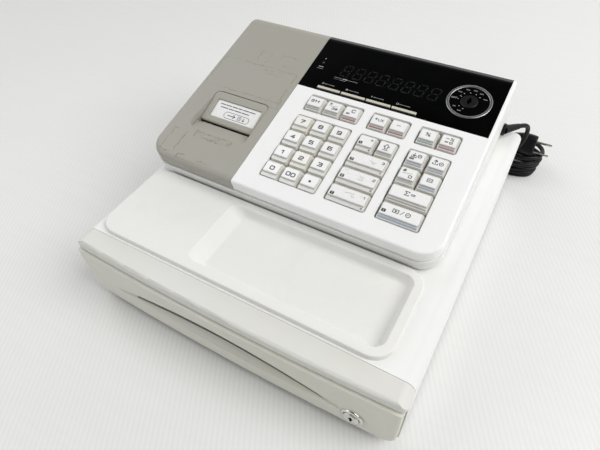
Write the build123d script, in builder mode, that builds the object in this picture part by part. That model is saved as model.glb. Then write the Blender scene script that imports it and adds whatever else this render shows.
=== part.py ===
"""Electronic ticket register: cash-drawer cabinet with a sloped keyboard and
printer unit on top.  Millimetres, +Z up, origin on the floor under the middle
of the cabinet, front towards -Y."""
import math
import os
from build123d import *

os.makedirs("parts", exist_ok=True)

# ---------------------------------------------------------------- dimensions
CAB_W = 330.0            # cabinet width
HX = CAB_W / 2
Y_FRONT = -181.0         # middle of the bowed front face
Y_BACK = 181.0
BOW = 3.9                # how far the middle of the front stands forward
Z_TOP = 80.0             # cabinet top
Z_LOW = 5.0              # lower edge of the cabinet walls
SEAM_Y = -155.6          # seam between the front bezel and the cabinet shell
WALL = 2.8
TOP_R = 4.4              # soft edge along the rear of the cabinet top
SIDE_R = 9.5             # larger rounding along both sides of the top
LIP_R = 2.4              # front edge of the bezel
BEZ_Z = 69.3             # lower edge of the bezel's front band
BEZ_IN = 3.0             # how far the bezel lies behind the drawer front
HXD = 163.9              # half width of the drawer front
LOCK_X, LOCK_Z = 127.0, 29.2

DR_TOP = 68.5            # drawer front
DR_LOW = 11.0
DR_RET = -169.7          # rear edge of the drawer front's side returns
DR_TRAVEL = 235.0

TILT = 13.6              # slope of the keyboard plane
YC, ZC = -63.7, 108.65   # front top edge of the upper unit
C = math.cos(math.radians(TILT))
S = math.sin(math.radians(TILT))
S_LEN = 218.6            # slope length of the top plane
REAR_R = 16.0            # radius of the rounded rear edge
N_SPLIT = -14.9          # depth of the seam between the upper and lower cases
UX0, UX1 = -165.0, 142.7  # upper unit, left and right
X_SPLIT = -59.4          # boundary between the grey cover and the white case
REAR_K = 0.203           # rear wall: metres along the slope per metre of depth
R_FL, R_FR, R_BL, R_BR = 22.0, 20.0, 6.0, 2.0
T_UP = 2.5

KEY_TRAVEL = 3.0
PX, PS = 20.1, 20.3      # key pitch across and along the slope

# screws that hold the upper unit on the cabinet
SCREWS = [(-152, -20), (112, -20), (-120, 150), (112, 150)]


def sn(x=0.0):
    """Plane whose local axes run along the slope and along the slope's normal."""
    return Plane(origin=(x, YC, ZC), x_dir=(0, C, S), z_dir=(1, 0, 0))


def kb(n=0.0):
    """Keyboard plane, local x across and local y up the slope."""
    return Plane(origin=(0, YC - S * n, ZC + C * n), x_dir=(1, 0, 0), z_dir=(0, -S, C))


def world(x, s, n):
    return (x, YC + s * C - n * S, ZC + s * S + n * C)


def at(edges, pt, tol=0.6):
    v = Vector(*pt)
    return [e for e in edges if (e.center() - v).length < tol]


def depth(e):
    """Height of an edge's middle over the keyboard plane."""
    return (e.center() - Vector(0, YC, ZC)).dot(Vector(0, -S, C))


def prism(x0, x1, pts):
    """Prism along X of a polygon given in (slope, depth) coordinates."""
    with BuildPart() as p:
        with BuildSketch(sn(x0)):
            with BuildLine():
                Polyline(*pts, close=True)
            make_face()
        extrude(amount=x1 - x0)
    return p.part


def yz_prism(x0, x1, pts):
    with BuildPart() as p:
        with BuildSketch(Plane(origin=(x0, 0, 0), x_dir=(0, 1, 0), z_dir=(1, 0, 0))):
            with BuildLine():
                Polyline(*pts, close=True)
            make_face()
        extrude(amount=x1 - x0)
    return p.part


def box(x0, x1, y0, y1, z0, z1):
    return Pos((x0 + x1) / 2, (y0 + y1) / 2, (z0 + z1) / 2) * Box(x1 - x0, y1 - y0, z1 - z0)


def cyl_y(x, z, r, y0, y1):
    return Pos(x, (y0 + y1) / 2, z) * Rot(90, 0, 0) * Cylinder(r, y1 - y0)


def cyl_x(y, z, r, x0, x1):
    return Pos((x0 + x1) / 2, y, z) * Rot(0, 90, 0) * Cylinder(r, x1 - x0)


def cyl_z(x, y, r, z0, z1):
    return Pos(x, y, (z0 + z1) / 2) * Cylinder(r, z1 - z0)


def kbox(x0, x1, s0, s1, n0, n1):
    """Box aligned with the keyboard plane."""
    return kb((n0 + n1) / 2) * Pos((x0 + x1) / 2, (s0 + s1) / 2, 0) * Box(x1 - x0, s1 - s0, n1 - n0)


def block(x0, x1, y0, y1, z0, z1, mode=Mode.ADD):
    """Box between two corners, in the running part."""
    with Locations(((x0 + x1) / 2, (y0 + y1) / 2, (z0 + z1) / 2)):
        Box(x1 - x0, y1 - y0, z1 - z0, mode=mode)


def rod_x(y, z, r, x0, x1, mode=Mode.ADD):
    with Locations(Location(((x0 + x1) / 2, y, z), (0, 90, 0))):
        Cylinder(r, x1 - x0, mode=mode)


def rod_y(x, z, r, y0, y1, mode=Mode.ADD):
    with Locations(Location((x, (y0 + y1) / 2, z), (90, 0, 0))):
        Cylinder(r, y1 - y0, mode=mode)


def rod_z(x, y, r, z0, z1, mode=Mode.ADD):
    with Locations(Location((x, y, (z0 + z1) / 2))):
        Cylinder(r, z1 - z0, mode=mode)


def kblock(x0, x1, s0, s1, n0, n1, mode=Mode.ADD):
    """Box aligned with the keyboard plane, in the running part."""
    with Locations(kb((n0 + n1) / 2).location * Location(((x0 + x1) / 2, (s0 + s1) / 2, 0))):
        Box(x1 - x0, s1 - s0, n1 - n0, mode=mode)


def wedge(x0, x1, pts, mode=Mode.ADD):
    """Prism along X of a (slope, depth) polygon, in the running part."""
    with BuildSketch(sn(x0)) as profile:
        with BuildLine():
            Polyline(*pts, close=True)
        make_face()
    extrude(profile.sketch, amount=x1 - x0, mode=mode)


def yz_wedge(x0, x1, pts, mode=Mode.ADD):
    with BuildSketch(Plane(origin=(x0, 0, 0), x_dir=(0, 1, 0), z_dir=(1, 0, 0))) as profile:
        with BuildLine():
            Polyline(*pts, close=True)
        make_face()
    extrude(profile.sketch, amount=x1 - x0, mode=mode)


def rear_s(n, inset=0.0):
    return S_LEN - REAR_K * n - inset


def upper_hull(x0, x1, t=0.0, n_low=N_SPLIT, corners=(0, 0, 0, 0), rear_r=REAR_R, top=None):
    """Outer form of the upper case between its top plane and the split plane,
    moved in by t all round; corners are front-left, front-right, back-left, back-right."""
    top = -t if top is None else top
    p = prism(x0, x1, [(t, top), (rear_s(top, t), top), (rear_s(n_low, t), n_low), (t, n_low)])
    if rear_r > 0:
        p = p.fillet(rear_r, at(p.edges(), world((x0 + x1) / 2, rear_s(top, t), top)))
    nm = (top + n_low) / 2
    for k, (x, s) in enumerate(((x0, t), (x1, t))):
        if corners[k] > 0.2:
            p = p.fillet(corners[k], at(p.edges(), world(x, s, nm)))
    for k, x in ((2, x0), (3, x1)):
        if corners[k] > 0.2:
            cand = [e for e in p.edges() if abs(e.center().X - x) < 0.05 and e.length > 1
                    and e.center().Y > world(x, rear_s(nm, t), nm)[1] - 9 and abs(e.tangent_at(0.5).Z) > 0.6]
            try:
                p = p.fillet(corners[k], cand)
            except Exception:
                print("rear corner fillet left off", k)
    return p


def save(builder, name):
    part = builder.part
    part.label = name
    export_step(part, f"parts/{name}.step")
    print(f"{name:26s} solids {len(part.solids())} vol {part.volume:12.1f} valid {part.is_valid}")


# ======================================================== cabinet
# shell: top, two side walls and rear wall, open below and in front
with BuildPart() as cabinet_shell:
    with BuildSketch(Plane.XY.offset(Z_LOW)):
        with Locations((0, (SEAM_Y + Y_BACK) / 2)):
            Rectangle(CAB_W, Y_BACK - SEAM_Y)
    extrude(amount=Z_TOP - Z_LOW)
    es = cabinet_shell.edges()
    fillet(at(es, (-HX, Y_BACK, 42.5)) + at(es, (HX, Y_BACK, 42.5)), 5.0)
    # soft top edge along both sides, round the rear corners and along the rear
    es = [e for e in cabinet_shell.edges() if abs(e.center().Z - Z_TOP) < 0.1 and e.center().Y > SEAM_Y + 1]
    fillet(es, SIDE_R)
    # inside
    with BuildPart(mode=Mode.PRIVATE) as room:
        block(-HX + WALL, HX - WALL, SEAM_Y - 5, Y_BACK - WALL, Z_LOW - 1, Z_TOP - WALL)
        fillet([e for e in room.edges() if abs(e.center().Z - Z_TOP + WALL) < 0.1 and e.center().Y > SEAM_Y - 4], SIDE_R - WALL)
    add(room.part, mode=Mode.SUBTRACT)
    # opening for the bowl of the change tray
    with BuildSketch(Plane.XY.offset(70)):
        with Locations(((-61.6 + 136.0) / 2, (-147.6 - 63.6) / 2)):
            RectangleRounded(197.6, 84.0, 9.0)
    extrude(amount=20, mode=Mode.SUBTRACT)
    # screw posts inside the rear corners
    for px in (-140, 140):
        block(px - 6, px + 6, 166, Y_BACK - WALL + 0.1, 8, Z_TOP - WALL + 0.1)
        rod_z(px, 172, 1.75, 6, 24, mode=Mode.SUBTRACT)
    # holes for the screws that hold the upper unit, and for the cable between them
    for px, py in SCREWS:
        rod_z(px, py, 1.9, 70, 90, mode=Mode.SUBTRACT)
    rod_z(60, 140, 7.0, 70, 90, mode=Mode.SUBTRACT)
save(cabinet_shell, "cabinet_shell")


def bow_y(x, off=0.0):
    return Y_FRONT + off + BOW * (x / HX) ** 2


# front bezel: a frame round the drawer opening
with BuildPart() as front_bezel:
    with BuildSketch(Plane.XY.offset(BEZ_Z)):
        with BuildLine():
            ThreePointArc((-HX, bow_y(HX, BEZ_IN)), (0, Y_FRONT + BEZ_IN), (HX, bow_y(HX, BEZ_IN)))
            Polyline((HX, bow_y(HX, BEZ_IN)), (HX, SEAM_Y - 0.35), (-HX, SEAM_Y - 0.35), (-HX, bow_y(HX, BEZ_IN)))
        make_face()
    extrude(amount=Z_TOP - BEZ_Z)
    zm = (Z_TOP + BEZ_Z) / 2
    es = front_bezel.edges()
    fillet(at(es, (-HX, bow_y(HX, BEZ_IN), zm)) + at(es, (HX, bow_y(HX, BEZ_IN), zm)), 5.0)
    es = [e for e in front_bezel.edges() if abs(e.center().Z - Z_TOP) < 0.1 and e.center().Y < SEAM_Y - 10 and e.length > 100]
    fillet(es, LIP_R)
    # the sides take the cabinet's rounding
    with BuildPart(mode=Mode.PRIVATE) as rounded:
        block(-HX, HX, -190, SEAM_Y + 10, BEZ_Z - 30, Z_TOP)
        fillet([e for e in rounded.edges() if abs(e.center().Z - Z_TOP) < 0.1 and abs(abs(e.center().X) - HX) < 0.1], SIDE_R)
    add(rounded.part, mode=Mode.INTERSECT)
    # hollow behind the front band
    block(-157.0, 157.0, -171.0, SEAM_Y + 1, BEZ_Z - 1, Z_TOP - WALL, mode=Mode.SUBTRACT)
    # cheeks and bottom rail
    for s_ in (-1, 1):
        x0, x1 = sorted((s_ * 160.0, s_ * HX))
        block(x0, x1, -167.3, SEAM_Y - 0.35, Z_LOW, BEZ_Z + 0.3)
    block(-160.2, 160.2, -167.5, SEAM_Y - 0.35, Z_LOW, 10.6)
save(front_bezel, "front_bezel")

# bottom pan with the two drawer rails
with BuildPart() as cabinet_base:
    block(-161.8, 161.8, SEAM_Y + 0.1, 177.8, 4.5, 6.5)
    for s_ in (-1, 1):
        x0, x1 = sorted((s_ * 159.6, s_ * 161.2))
        block(x0, x1, SEAM_Y + 0.6, 160.0, 6.4, 60.0)
        x0, x1 = sorted((s_ * 155.8, s_ * 160.0))
        block(x0, x1, SEAM_Y + 0.6, 160.0, 50.0, 52.0)
    # posts for the latch pivot
    for px in (8.6, 23.4):
        block(px - 1.5, px + 1.5, 138.0, 150.0, 6.4, 16.0)
    rod_x(144.0, 11.5, 2.15, 5, 27, mode=Mode.SUBTRACT)
    # embossed stiffening ribs
    for px in (-100, -50, 60, 110):
        block(px - 2, px + 2, -140, 120, 6.4, 7.6)
    for px in (-140, 140):
        rod_z(px, 172, 1.9, 3, 8, mode=Mode.SUBTRACT)
    for px in (-140, 140):
        rod_z(px, -120, 2.6, 3, 8, mode=Mode.SUBTRACT)
        rod_z(px, 140, 2.6, 3, 8, mode=Mode.SUBTRACT)
save(cabinet_base, "cabinet_base")

with BuildPart() as rubber_feet:
    for px in (-140, 140):
        for py in (-120, 140):
            rod_z(px, py, 9.0, 0.0, 4.5)
            rod_z(px, py, 2.5, 4.4, 7.4)
            rod_z(px, py, 3.2, 6.6, 7.6)
            rod_z(px, py, 3.0, -1, 1.6, mode=Mode.SUBTRACT)
    es = [e for e in rubber_feet.edges() if abs(e.bounding_box().max.Z) < 0.01 and e.length > 50]
    fillet(es, 1.2)
save(rubber_feet, "rubber_feet")

with BuildPart() as case_screws:
    for px in (-140, 140):
        rod_z(px, 172, 1.5, 2.6, 22)
        rod_z(px, 172, 3.2, 2.6, 4.5)
        block(px - 0.5, px + 0.5, 170, 174, 2, 3.6, mode=Mode.SUBTRACT)
        block(px - 2, px + 2, 171.5, 172.5, 2, 3.6, mode=Mode.SUBTRACT)
    for px, py in SCREWS:
        rod_z(px, py, 1.5, 75.4, 92.0)
        rod_z(px, py, 3.2, 75.4, 77.2)
        block(px - 0.5, px + 0.5, py - 2, py + 2, 75, 76.4, mode=Mode.SUBTRACT)
        block(px - 2, px + 2, py - 0.5, py + 0.5, 75, 76.4, mode=Mode.SUBTRACT)
save(case_screws, "case_screws")

# ======================================================== drawer
ARCH = [(-130, 32.0), (-115, 36.6), (-100, 41.4), (-80, 46.0), (-50, 51.4), (-20, 54.2), (0, 54.8),
        (25, 53.4), (50, 50.4), (80, 44.5), (100, 39.2), (115, 34.6)]
RIDGE = 30.2
RAMP_K = 0.9


def arch_z(x):
    for (xa, za), (xb, zb) in zip(ARCH, ARCH[1:]):
        if xa <= x <= xb:
            return za + (zb - za) * (x - xa) / (xb - xa)
    return RIDGE


def eye_prism(y0, y1, x_lo=-134.0, x_hi=118.0, z_lo=RIDGE, drop=0.0):
    """The almond outline between the ridge and the arch, extruded along Y."""
    pts = [(x, z - drop) for x, z in ARCH if x_lo <= x <= x_hi]
    with BuildPart() as p:
        with BuildSketch(Plane(origin=(0, y0, 0), x_dir=(1, 0, 0), z_dir=(0, -1, 0))):
            with BuildLine():
                a = Spline(*pts)
                Polyline(pts[-1], (pts[-1][0] + (1.2 if x_hi > 110 else 0), z_lo),
                         (pts[0][0] - (4 if x_lo < -130 else 0), z_lo), pts[0])
            make_face()
        extrude(amount=-(y1 - y0))
    return p.part


def depth_region(extra, x_lo, x_hi, front=True, z0=20.0, z1=70.0):
    """Everything in front of the line where the ramp goes out of sight,
    plus extra millimetres (a prism along Z)."""
    xs = [x_lo + (x_hi - x_lo) * i / 12 for i in range(13)]
    pts = [(x, bow_y(x) + max(0.35, (arch_z(x) - RIDGE) / (2.65 + RAMP_K)) + extra) for x in xs]
    with BuildPart() as p:
        with BuildSketch(Plane.XY.offset(z0)):
            with BuildLine():
                Spline(*pts)
                yy = -190.0 if front else -150.0
                Polyline(pts[-1], (pts[-1][0], yy), (pts[0][0], yy), pts[0])
            make_face()
        extrude(amount=z1 - z0)
    return p.part


above_ramp = yz_prism(-150, 140, [(Y_FRONT, RIDGE - 0.4), (Y_FRONT - 8, RIDGE - 0.4 - 8 * 0.25), (Y_FRONT - 8, 90),
                                  (Y_FRONT + 22, 90), (Y_FRONT + 22, RIDGE + 22 * RAMP_K)])

pocket = eye_prism(-188, -165) & above_ramp
pocket_tool = pocket & depth_region(0.35, -136, 120)
slot_tool = eye_prism(-188, -160, -100, 100, RIDGE + 2.0, 1.4) & depth_region(-1.1, -100, 100, front=False)

with BuildPart() as drawer_front:
    with BuildSketch(Plane.XY.offset(DR_LOW)):
        with BuildLine():
            ThreePointArc((-HXD, bow_y(HXD)), (0, Y_FRONT), (HXD, bow_y(HXD)))
            Polyline((HXD, bow_y(HXD)), (HXD, DR_RET), (-HXD, DR_RET), (-HXD, bow_y(HXD)))
        make_face()
    extrude(amount=DR_TOP - DR_LOW)
    es = drawer_front.edges()
    fillet(at(es, (-HXD, (bow_y(HXD) + DR_RET) / 2, DR_LOW)) + at(es, (HXD, (bow_y(HXD) + DR_RET) / 2, DR_LOW)), 13.0)
    es = [e for e in drawer_front.edges() if abs(abs(e.center().X) - HXD) < 0.1 and abs(e.tangent_at(0.5).Z) > 0.9
          and e.center().Y < -175]
    lows = [e for e in drawer_front.edges() if e.center().Y < -175 and e.center().Z < 30 and e not in es]
    fillet(es + lows, 2.6)
    es = [e for e in drawer_front.edges() if abs(e.center().Z - DR_TOP) < 0.05 and e.center().Y < -176.2 and e.length > 100]
    try:
        fillet(es, 0.8)
    except Exception:
        print("top edge fillet left off")
    # hollow behind the face
    with BuildSketch(Plane(origin=(0, DR_RET + 0.1, 0), x_dir=(1, 0, 0), z_dir=(0, -1, 0))):
        with Locations((0, (DR_LOW + DR_TOP) / 2)):
            RectangleRounded(2 * HXD - 6.4, DR_TOP - DR_LOW - 6.0, 9.5)
    extrude(amount=4.9, mode=Mode.SUBTRACT)
    # body of the recess, standing out behind the face
    block(-137, 121.5, -178.2, -170.8, 25.5, 58.0)
    add(pocket_tool, mode=Mode.SUBTRACT)
    # through slot behind the ramp
    add(slot_tool, mode=Mode.SUBTRACT)
    # mounting bosses that meet the drawer box
    for px, pz in ((-148, 20), (-148, 60), (0, 61.5), (148, 60), (90, 20), (0, 19), (-90, 19)):
        rod_y(px, pz, 3.6, -176.5, -166.6)
    # lock barrel seat
    rod_y(LOCK_X, LOCK_Z, 9.4, -177.5, -166.6)
    rod_y(LOCK_X, LOCK_Z, 7.05, -190, -160, mode=Mode.SUBTRACT)
save(drawer_front, "drawer_front")

DB_X, DB_Y0, DB_Y1, DB_Z0, DB_Z1 = 154.0, -166.6, 128.0, 12.5, 66.0
with BuildPart() as drawer_box:
    block(-DB_X, DB_X, DB_Y0, DB_Y1, DB_Z0, DB_Z1)
    block(-DB_X + 2, DB_X - 2, DB_Y0 + 2.2, DB_Y1 - 2, DB_Z0 + 2, DB_Z1 + 1, mode=Mode.SUBTRACT)
    # runners that ride on the rails
    for s_ in (-1, 1):
        x0, x1 = sorted((s_ * (DB_X - 0.2), s_ * 159.0))
        block(x0, x1, -155.0, DB_Y1, 52.4, 54.4)
    # voucher slot in the front wall, lock barrel hole and cam notch
    block(-92, 88, -170, -160, 40.0, 56.0, mode=Mode.SUBTRACT)
    rod_y(LOCK_X, LOCK_Z, 7.4, -170, -160, mode=Mode.SUBTRACT)
    block(110.4, 132.6, -156.6, -150.4, 10, 16, mode=Mode.SUBTRACT)
    # strike rib for the latch under the rear of the floor
    block(6, 26, 125.5, 127.5, 10.6, 12.6)
save(drawer_box, "drawer_box")

# one insert with six coin cups in front and three note bays behind
IN_X, IN_Y0, IN_Y1, IN_Z0, IN_Z1 = 151.6, -149.0, 125.4, 14.8, 62.0
BAYS = [(-149.4, -51.4), (-49.0, 49.0), (51.4, 149.4)]
CUPS = [(-149.4 + i * 49.87, -149.4 + i * 49.87 + 48.0) for i in range(6)]
with BuildPart() as bays:
    for x0, x1 in BAYS:
        block(x0, x1, -62.6, 121.6, IN_Z0 + 2.0, IN_Z1 + 1)
    fillet(bays.edges().filter_by(Axis.Z), 3.0)
with BuildPart() as cups:
    for x0, x1 in CUPS:
        block(x0, x1, -144.6, -66.4, IN_Z0 + 2.0, IN_Z1 + 1)
    fillet(cups.edges().filter_by(Axis.Z), 5.0)
    fillet([e for e in cups.edges() if abs(e.center().Z - (IN_Z0 + 2.0)) < 0.05], 4.5)
with BuildPart() as till_insert:
    block(-IN_X, IN_X, IN_Y0, IN_Y1, IN_Z0, IN_Z1)
    add(bays.part, mode=Mode.SUBTRACT)
    add(cups.part, mode=Mode.SUBTRACT)
    # pivot holes of the two bill clips in the bay walls
    for x0, x1 in (BAYS[0], BAYS[2]):
        for xx in (x0, x1):
            rod_x(116.0, 54.0, 2.1, xx - 1.7, xx + 1.7, mode=Mode.SUBTRACT)
save(till_insert, "till_insert")

for name, (x0, x1) in (("bill_clip_left", BAYS[0]), ("bill_clip_right", BAYS[2])):
    xm = (x0 + x1) / 2
    with BuildPart() as clip:
        # curved spring arm seen from the side, resting just above the bay floor
        with BuildSketch(Plane(origin=(xm - 16, 0, 0), x_dir=(0, 1, 0), z_dir=(1, 0, 0))):
            with BuildLine():
                Polyline((116.0, 57.0), (108.0, 56.0), (72.0, 34.0), (50.0, 21.0), (43.0, 18.6), (36.0, 19.6),
                         (36.0, 21.4), (43.0, 20.6), (49.2, 22.8), (71.0, 36.2), (107.0, 58.2), (116.0, 59.0), close=True)
            make_face()
        extrude(amount=32)
        # barrel and stub pins
        rod_x(116.0, 54.0, 5.0, xm - 46.0, xm + 46.0)
        rod_x(116.0, 54.0, 1.95, x0 - 1.3, x1 + 1.3)
        block(xm - 16, xm + 16, 111.5, 116.0, 53.5, 57.5)
        # finger window
        block(xm - 9, xm + 9, 60.0, 92.0, 20, 60, mode=Mode.SUBTRACT)
    save(clip, name)

# rotating key plug of the drawer lock with its cam
with BuildPart() as drawer_lock:
    rod_y(LOCK_X, LOCK_Z, 6.75, -181.6, -151.4)
    # chamfered face
    es = [e for e in drawer_lock.edges() if abs(e.center().Y + 181.6) < 0.05]
    chamfer(es, 0.5)
    # keyhole
    block(LOCK_X - 0.8, LOCK_X + 0.8, -182, -170, LOCK_Z - 4.2, LOCK_Z + 3.2, mode=Mode.SUBTRACT)
    block(LOCK_X - 1.7, LOCK_X + 1.7, -182, -170, LOCK_Z - 1.2, LOCK_Z + 1.8, mode=Mode.SUBTRACT)
    # cam, pointing to the left while unlocked
    block(LOCK_X - 20.4, LOCK_X + 3, -154.6, -152.2, LOCK_Z - 3.5, LOCK_Z + 3.5)
save(drawer_lock, "drawer_lock")

# release latch of the drawer, a rocking lever on the bottom pan
with BuildPart() as drawer_latch:
    rod_x(144.0, 11.5, 2.0, 7.2, 24.8)
    with BuildSketch(Plane(origin=(10.6, 0, 0), x_dir=(0, 1, 0), z_dir=(1, 0, 0))):
        with BuildLine():
            Polyline((148.0, 9.4), (160.0, 9.6), (160.0, 12.6), (148.0, 14.0), (141.0, 14.0), (137.0, 8.6),
                     (124.7, 8.6), (124.3, 10.2), (122.6, 10.2), (122.2, 9.6), (122.2, 6.95), (139.0, 6.95), close=True)
        make_face()
    extrude(amount=10.8)
save(drawer_latch, "drawer_latch")

# ======================================================== change tray
with BuildPart() as bowl:
    with BuildSketch(Plane.XY.offset(75.6)):
        with Locations(((-41.0 + 127.6) / 2, -105.6)):
            RectangleRounded(168.6, 68.0, 7.0)
    with BuildSketch(Plane.XY.offset(85.5)):
        with Locations((37.5, -106.56)):
            RectangleRounded(189.6, 76.0, 10.0)
    loft()
    low = [e for e in bowl.edges() if abs(e.center().Z - 75.6) < 0.05]
    try:
        fillet(low, 3.4)
    except Exception:
        print("bowl floor fillet left off")

with BuildPart() as change_tray:
    with BuildSketch(Plane.XY.offset(Z_TOP + 0.05)):
        with Locations((-7.1, -106.85)):
            RectangleRounded(295.3, 93.5, 19.0)
    extrude(amount=4.85, taper=8)
    es = [e for e in change_tray.edges() if abs(e.center().Z - 84.9) < 0.02]
    fillet(es, 1.3)
    # underside of the bowl
    with BuildSketch(Plane.XY.offset(73.6)):
        with Locations((37.2, -105.6)):
            RectangleRounded(191.0, 80.0, 9.0)
    extrude(amount=7.0)
    add(bowl.part, mode=Mode.SUBTRACT)
    rim = [e for e in change_tray.edges() if abs(e.center().Z - 84.9) < 0.02 and abs(e.center().Y + 106.5) < 39.0
           and -59.5 < e.center().X < 133]
    try:
        fillet(rim, 1.1)
    except Exception:
        print("bowl rim fillet left off")
save(change_tray, "change_tray")

# ======================================================== upper unit
# lower case: wedge with a light band in front, open above
LOW_R = UX1 + 0.5
with BuildPart() as lh:
    yz_wedge(UX0, LOW_R, [(-58.3, 82.5), world(0, -0.9, N_SPLIT - 0.3)[1:], world(0, rear_s(N_SPLIT - 0.3), N_SPLIT - 0.3)[1:],
                              (177.6, 82.5)])
    pf = world(0, -0.9, N_SPLIT - 0.3)
    mid = ((-58.3 + pf[1]) / 2, (82.5 + pf[2]) / 2)
    es = lh.edges()
    fillet(at(es, (UX0, *mid)), R_FL)
    fillet(at(lh.edges(), (LOW_R, *mid)), R_FR)
    pr_ = world(0, rear_s(N_SPLIT - 0.3), N_SPLIT - 0.3)
    midr = ((177.6 + pr_[1]) / 2, (82.5 + pr_[2]) / 2)
    fillet(at(lh.edges(), (UX0, *midr)), R_BL)
    fillet(at(lh.edges(), (LOW_R, *midr)), R_BR)
with BuildPart() as lh_in:
    a = world(0, 1.8, N_SPLIT + 3)
    b = world(0, rear_s(N_SPLIT + 3, 2.7), N_SPLIT + 3)
    yz_wedge(UX0 + 2.6, LOW_R - 3.1, [(-55.4, 85.0), a[1:], b[1:], (174.0, 85.0)])
    mid2 = ((-55.4 + a[1]) / 2, (85.0 + a[2]) / 2)
    fillet(at(lh_in.edges(), (UX0 + 2.6, *mid2)), R_FL - 2.4)
    fillet(at(lh_in.edges(), (LOW_R - 3.1, *mid2)), R_FR - 2.4)
    mid3 = ((174.0 + b[1]) / 2, (85.0 + b[2]) / 2)
    fillet(at(lh_in.edges(), (UX0 + 2.6, *mid3)), R_BL - 2.4)
HINGE = world(0, rear_s(N_SPLIT), N_SPLIT)          # hinge line of the printer cover
LUGS_COVER = [(-150.0, -138.0), (-90.0, -78.0)]
LUGS_CASE = [(-137.6, -129.6), (-98.4, -90.4)]
lh_shell = lh.part - lh_in.part
divider = prism(X_SPLIT - 3.6, X_SPLIT - 1.4, [(-2, N_SPLIT - 0.6), (rear_s(N_SPLIT, -5), N_SPLIT - 0.6), (250, -110), (-2, -60)]) & lh.part
with BuildPart() as lower_housing:
    add(lh_shell)
    # plinth that stands on the cabinet top
    with BuildSketch(Plane.XY.offset(80.05)):
        with Locations(((UX0 + LOW_R) / 2, (-52.8 + 172.0) / 2)):
            RectangleRounded(LOW_R - UX0 - 11.0, 224.8, 16.0)
        with Locations(((UX0 + LOW_R) / 2, (-52.8 + 172.0) / 2)):
            RectangleRounded(LOW_R - UX0 - 17.0, 218.8, 13.0, mode=Mode.SUBTRACT)
    extrude(amount=2.6)
    # wall between the printer bay and the electronics
    add(divider)
    # screw bosses
    for px, py in SCREWS:
        rod_z(px, py, 3.6, 80.05, 95.0)
        rod_z(px, py, 1.55, 79, 92.4, mode=Mode.SUBTRACT)
    rod_z(60, 140, 6.0, 80, 86, mode=Mode.SUBTRACT)
    # hinge barrels for the printer cover
    for x0, x1 in LUGS_COVER:
        rod_x(HINGE[1], HINGE[2], 3.5, x0 - 0.4, x1 + 0.4, mode=Mode.SUBTRACT)
    for x0, x1 in LUGS_CASE:
        rod_x(HINGE[1], HINGE[2], 3.0, x0, x1)
        block(x0, x1, HINGE[1] - 2.6, HINGE[1] + 2.8, HINGE[2] - 8.0, HINGE[2] - 1.0)
        rod_x(HINGE[1], HINGE[2], 1.6, x0 - 1, x1 + 1, mode=Mode.SUBTRACT)
    # cord gland hole in the right wall
    rod_x(158.6, 87.6 + 3.4, 4.1, LOW_R - 6, LOW_R + 2, mode=Mode.SUBTRACT)
    # seam line of the rear part of the right wall
    yz_wedge(LOW_R - 0.5, LOW_R + 1, [(112.5, 154.4), (113.2, 154.4), (159.8, 82.4), (159.1, 82.4)], mode=Mode.SUBTRACT)
save(lower_housing, "lower_housing")

# white upper case with the key wells
WELLS = [(-38.4, 21.8, 17.1, 98.4), (30.05, 70.6, 17.1, 98.4), (79.4, 119.9, 17.1, 98.4),
         (-38.4, 21.8, 104.7, 127.2), (31.0, 70.8, 104.7, 127.2), (79.8, 120.0, 104.7, 127.2)]
PANEL_S = 134.2
PANEL_X0, PANEL_X1 = -59.2, 139.9
MODE_X, MODE_S = 109.9, 171.2
BTN_X = [(-38.0, -12.5), (-10.6, 15.4), (17.0, 42.8), (44.4, 69.5)]
BTN_S0, BTN_S1 = 135.9, 140.0

# keys: name, column group origin, width in columns, row
KEYS = []
NUM = [["7", "8", "9"], ["4", "5", "6"], ["1", "2", "3"], ["0", "00", "point"]]
for r, row in enumerate(NUM):
    for c_, k in enumerate(row):
        KEYS.append((f"key_{k}", -38.4 + 20.07 * c_ + 10.0, 98.4 - 10.15 - PS * r, 1))
for c_, k in enumerate(("key_feed", "key_multiply", "key_clear")):
    KEYS.append((k, -38.4 + 20.07 * c_ + 10.0, 115.95, 1))
for c_, k in enumerate(("key_void", "key_minus")):
    KEYS.append((k, 31.0 + 19.9 * c_ + 9.95, 115.95, 1))
for c_, k in enumerate(("key_percent", "key_discount")):
    KEYS.append((k, 79.8 + 20.1 * c_ + 10.05, 115.95, 1))
KEYS += [("key_dept_4", 30.05 + 10.1, 98.4 - 10.15, 1), ("key_dept_shift", 30.05 + 30.4, 98.4 - 10.15, 1)]
for r, k in enumerate(("key_dept_3", "key_dept_2", "key_dept_1")):
    KEYS.append((k, (30.05 + 70.6) / 2, 98.4 - 10.15 - PS * (r + 1), 2))
KEYS += [("key_received", 79.4 + 10.1, 98.4 - 10.15, 1), ("key_paid_out", 79.4 + 30.4, 98.4 - 10.15, 1),
         ("key_price_code", 79.4 + 10.1, 98.4 - 10.15 - PS, 1), ("key_voucher", 79.4 + 30.4, 98.4 - 10.15 - PS, 1),
         ("key_subtotal", (79.4 + 119.9) / 2, 98.4 - 10.15 - 2 * PS, 2), ("key_tender", (79.4 + 119.9) / 2, 98.4 - 10.15 - 3 * PS, 2)]


def stems(x, w):
    return [x] if w == 1 else [x - 10.0, x + 10.0]


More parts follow.
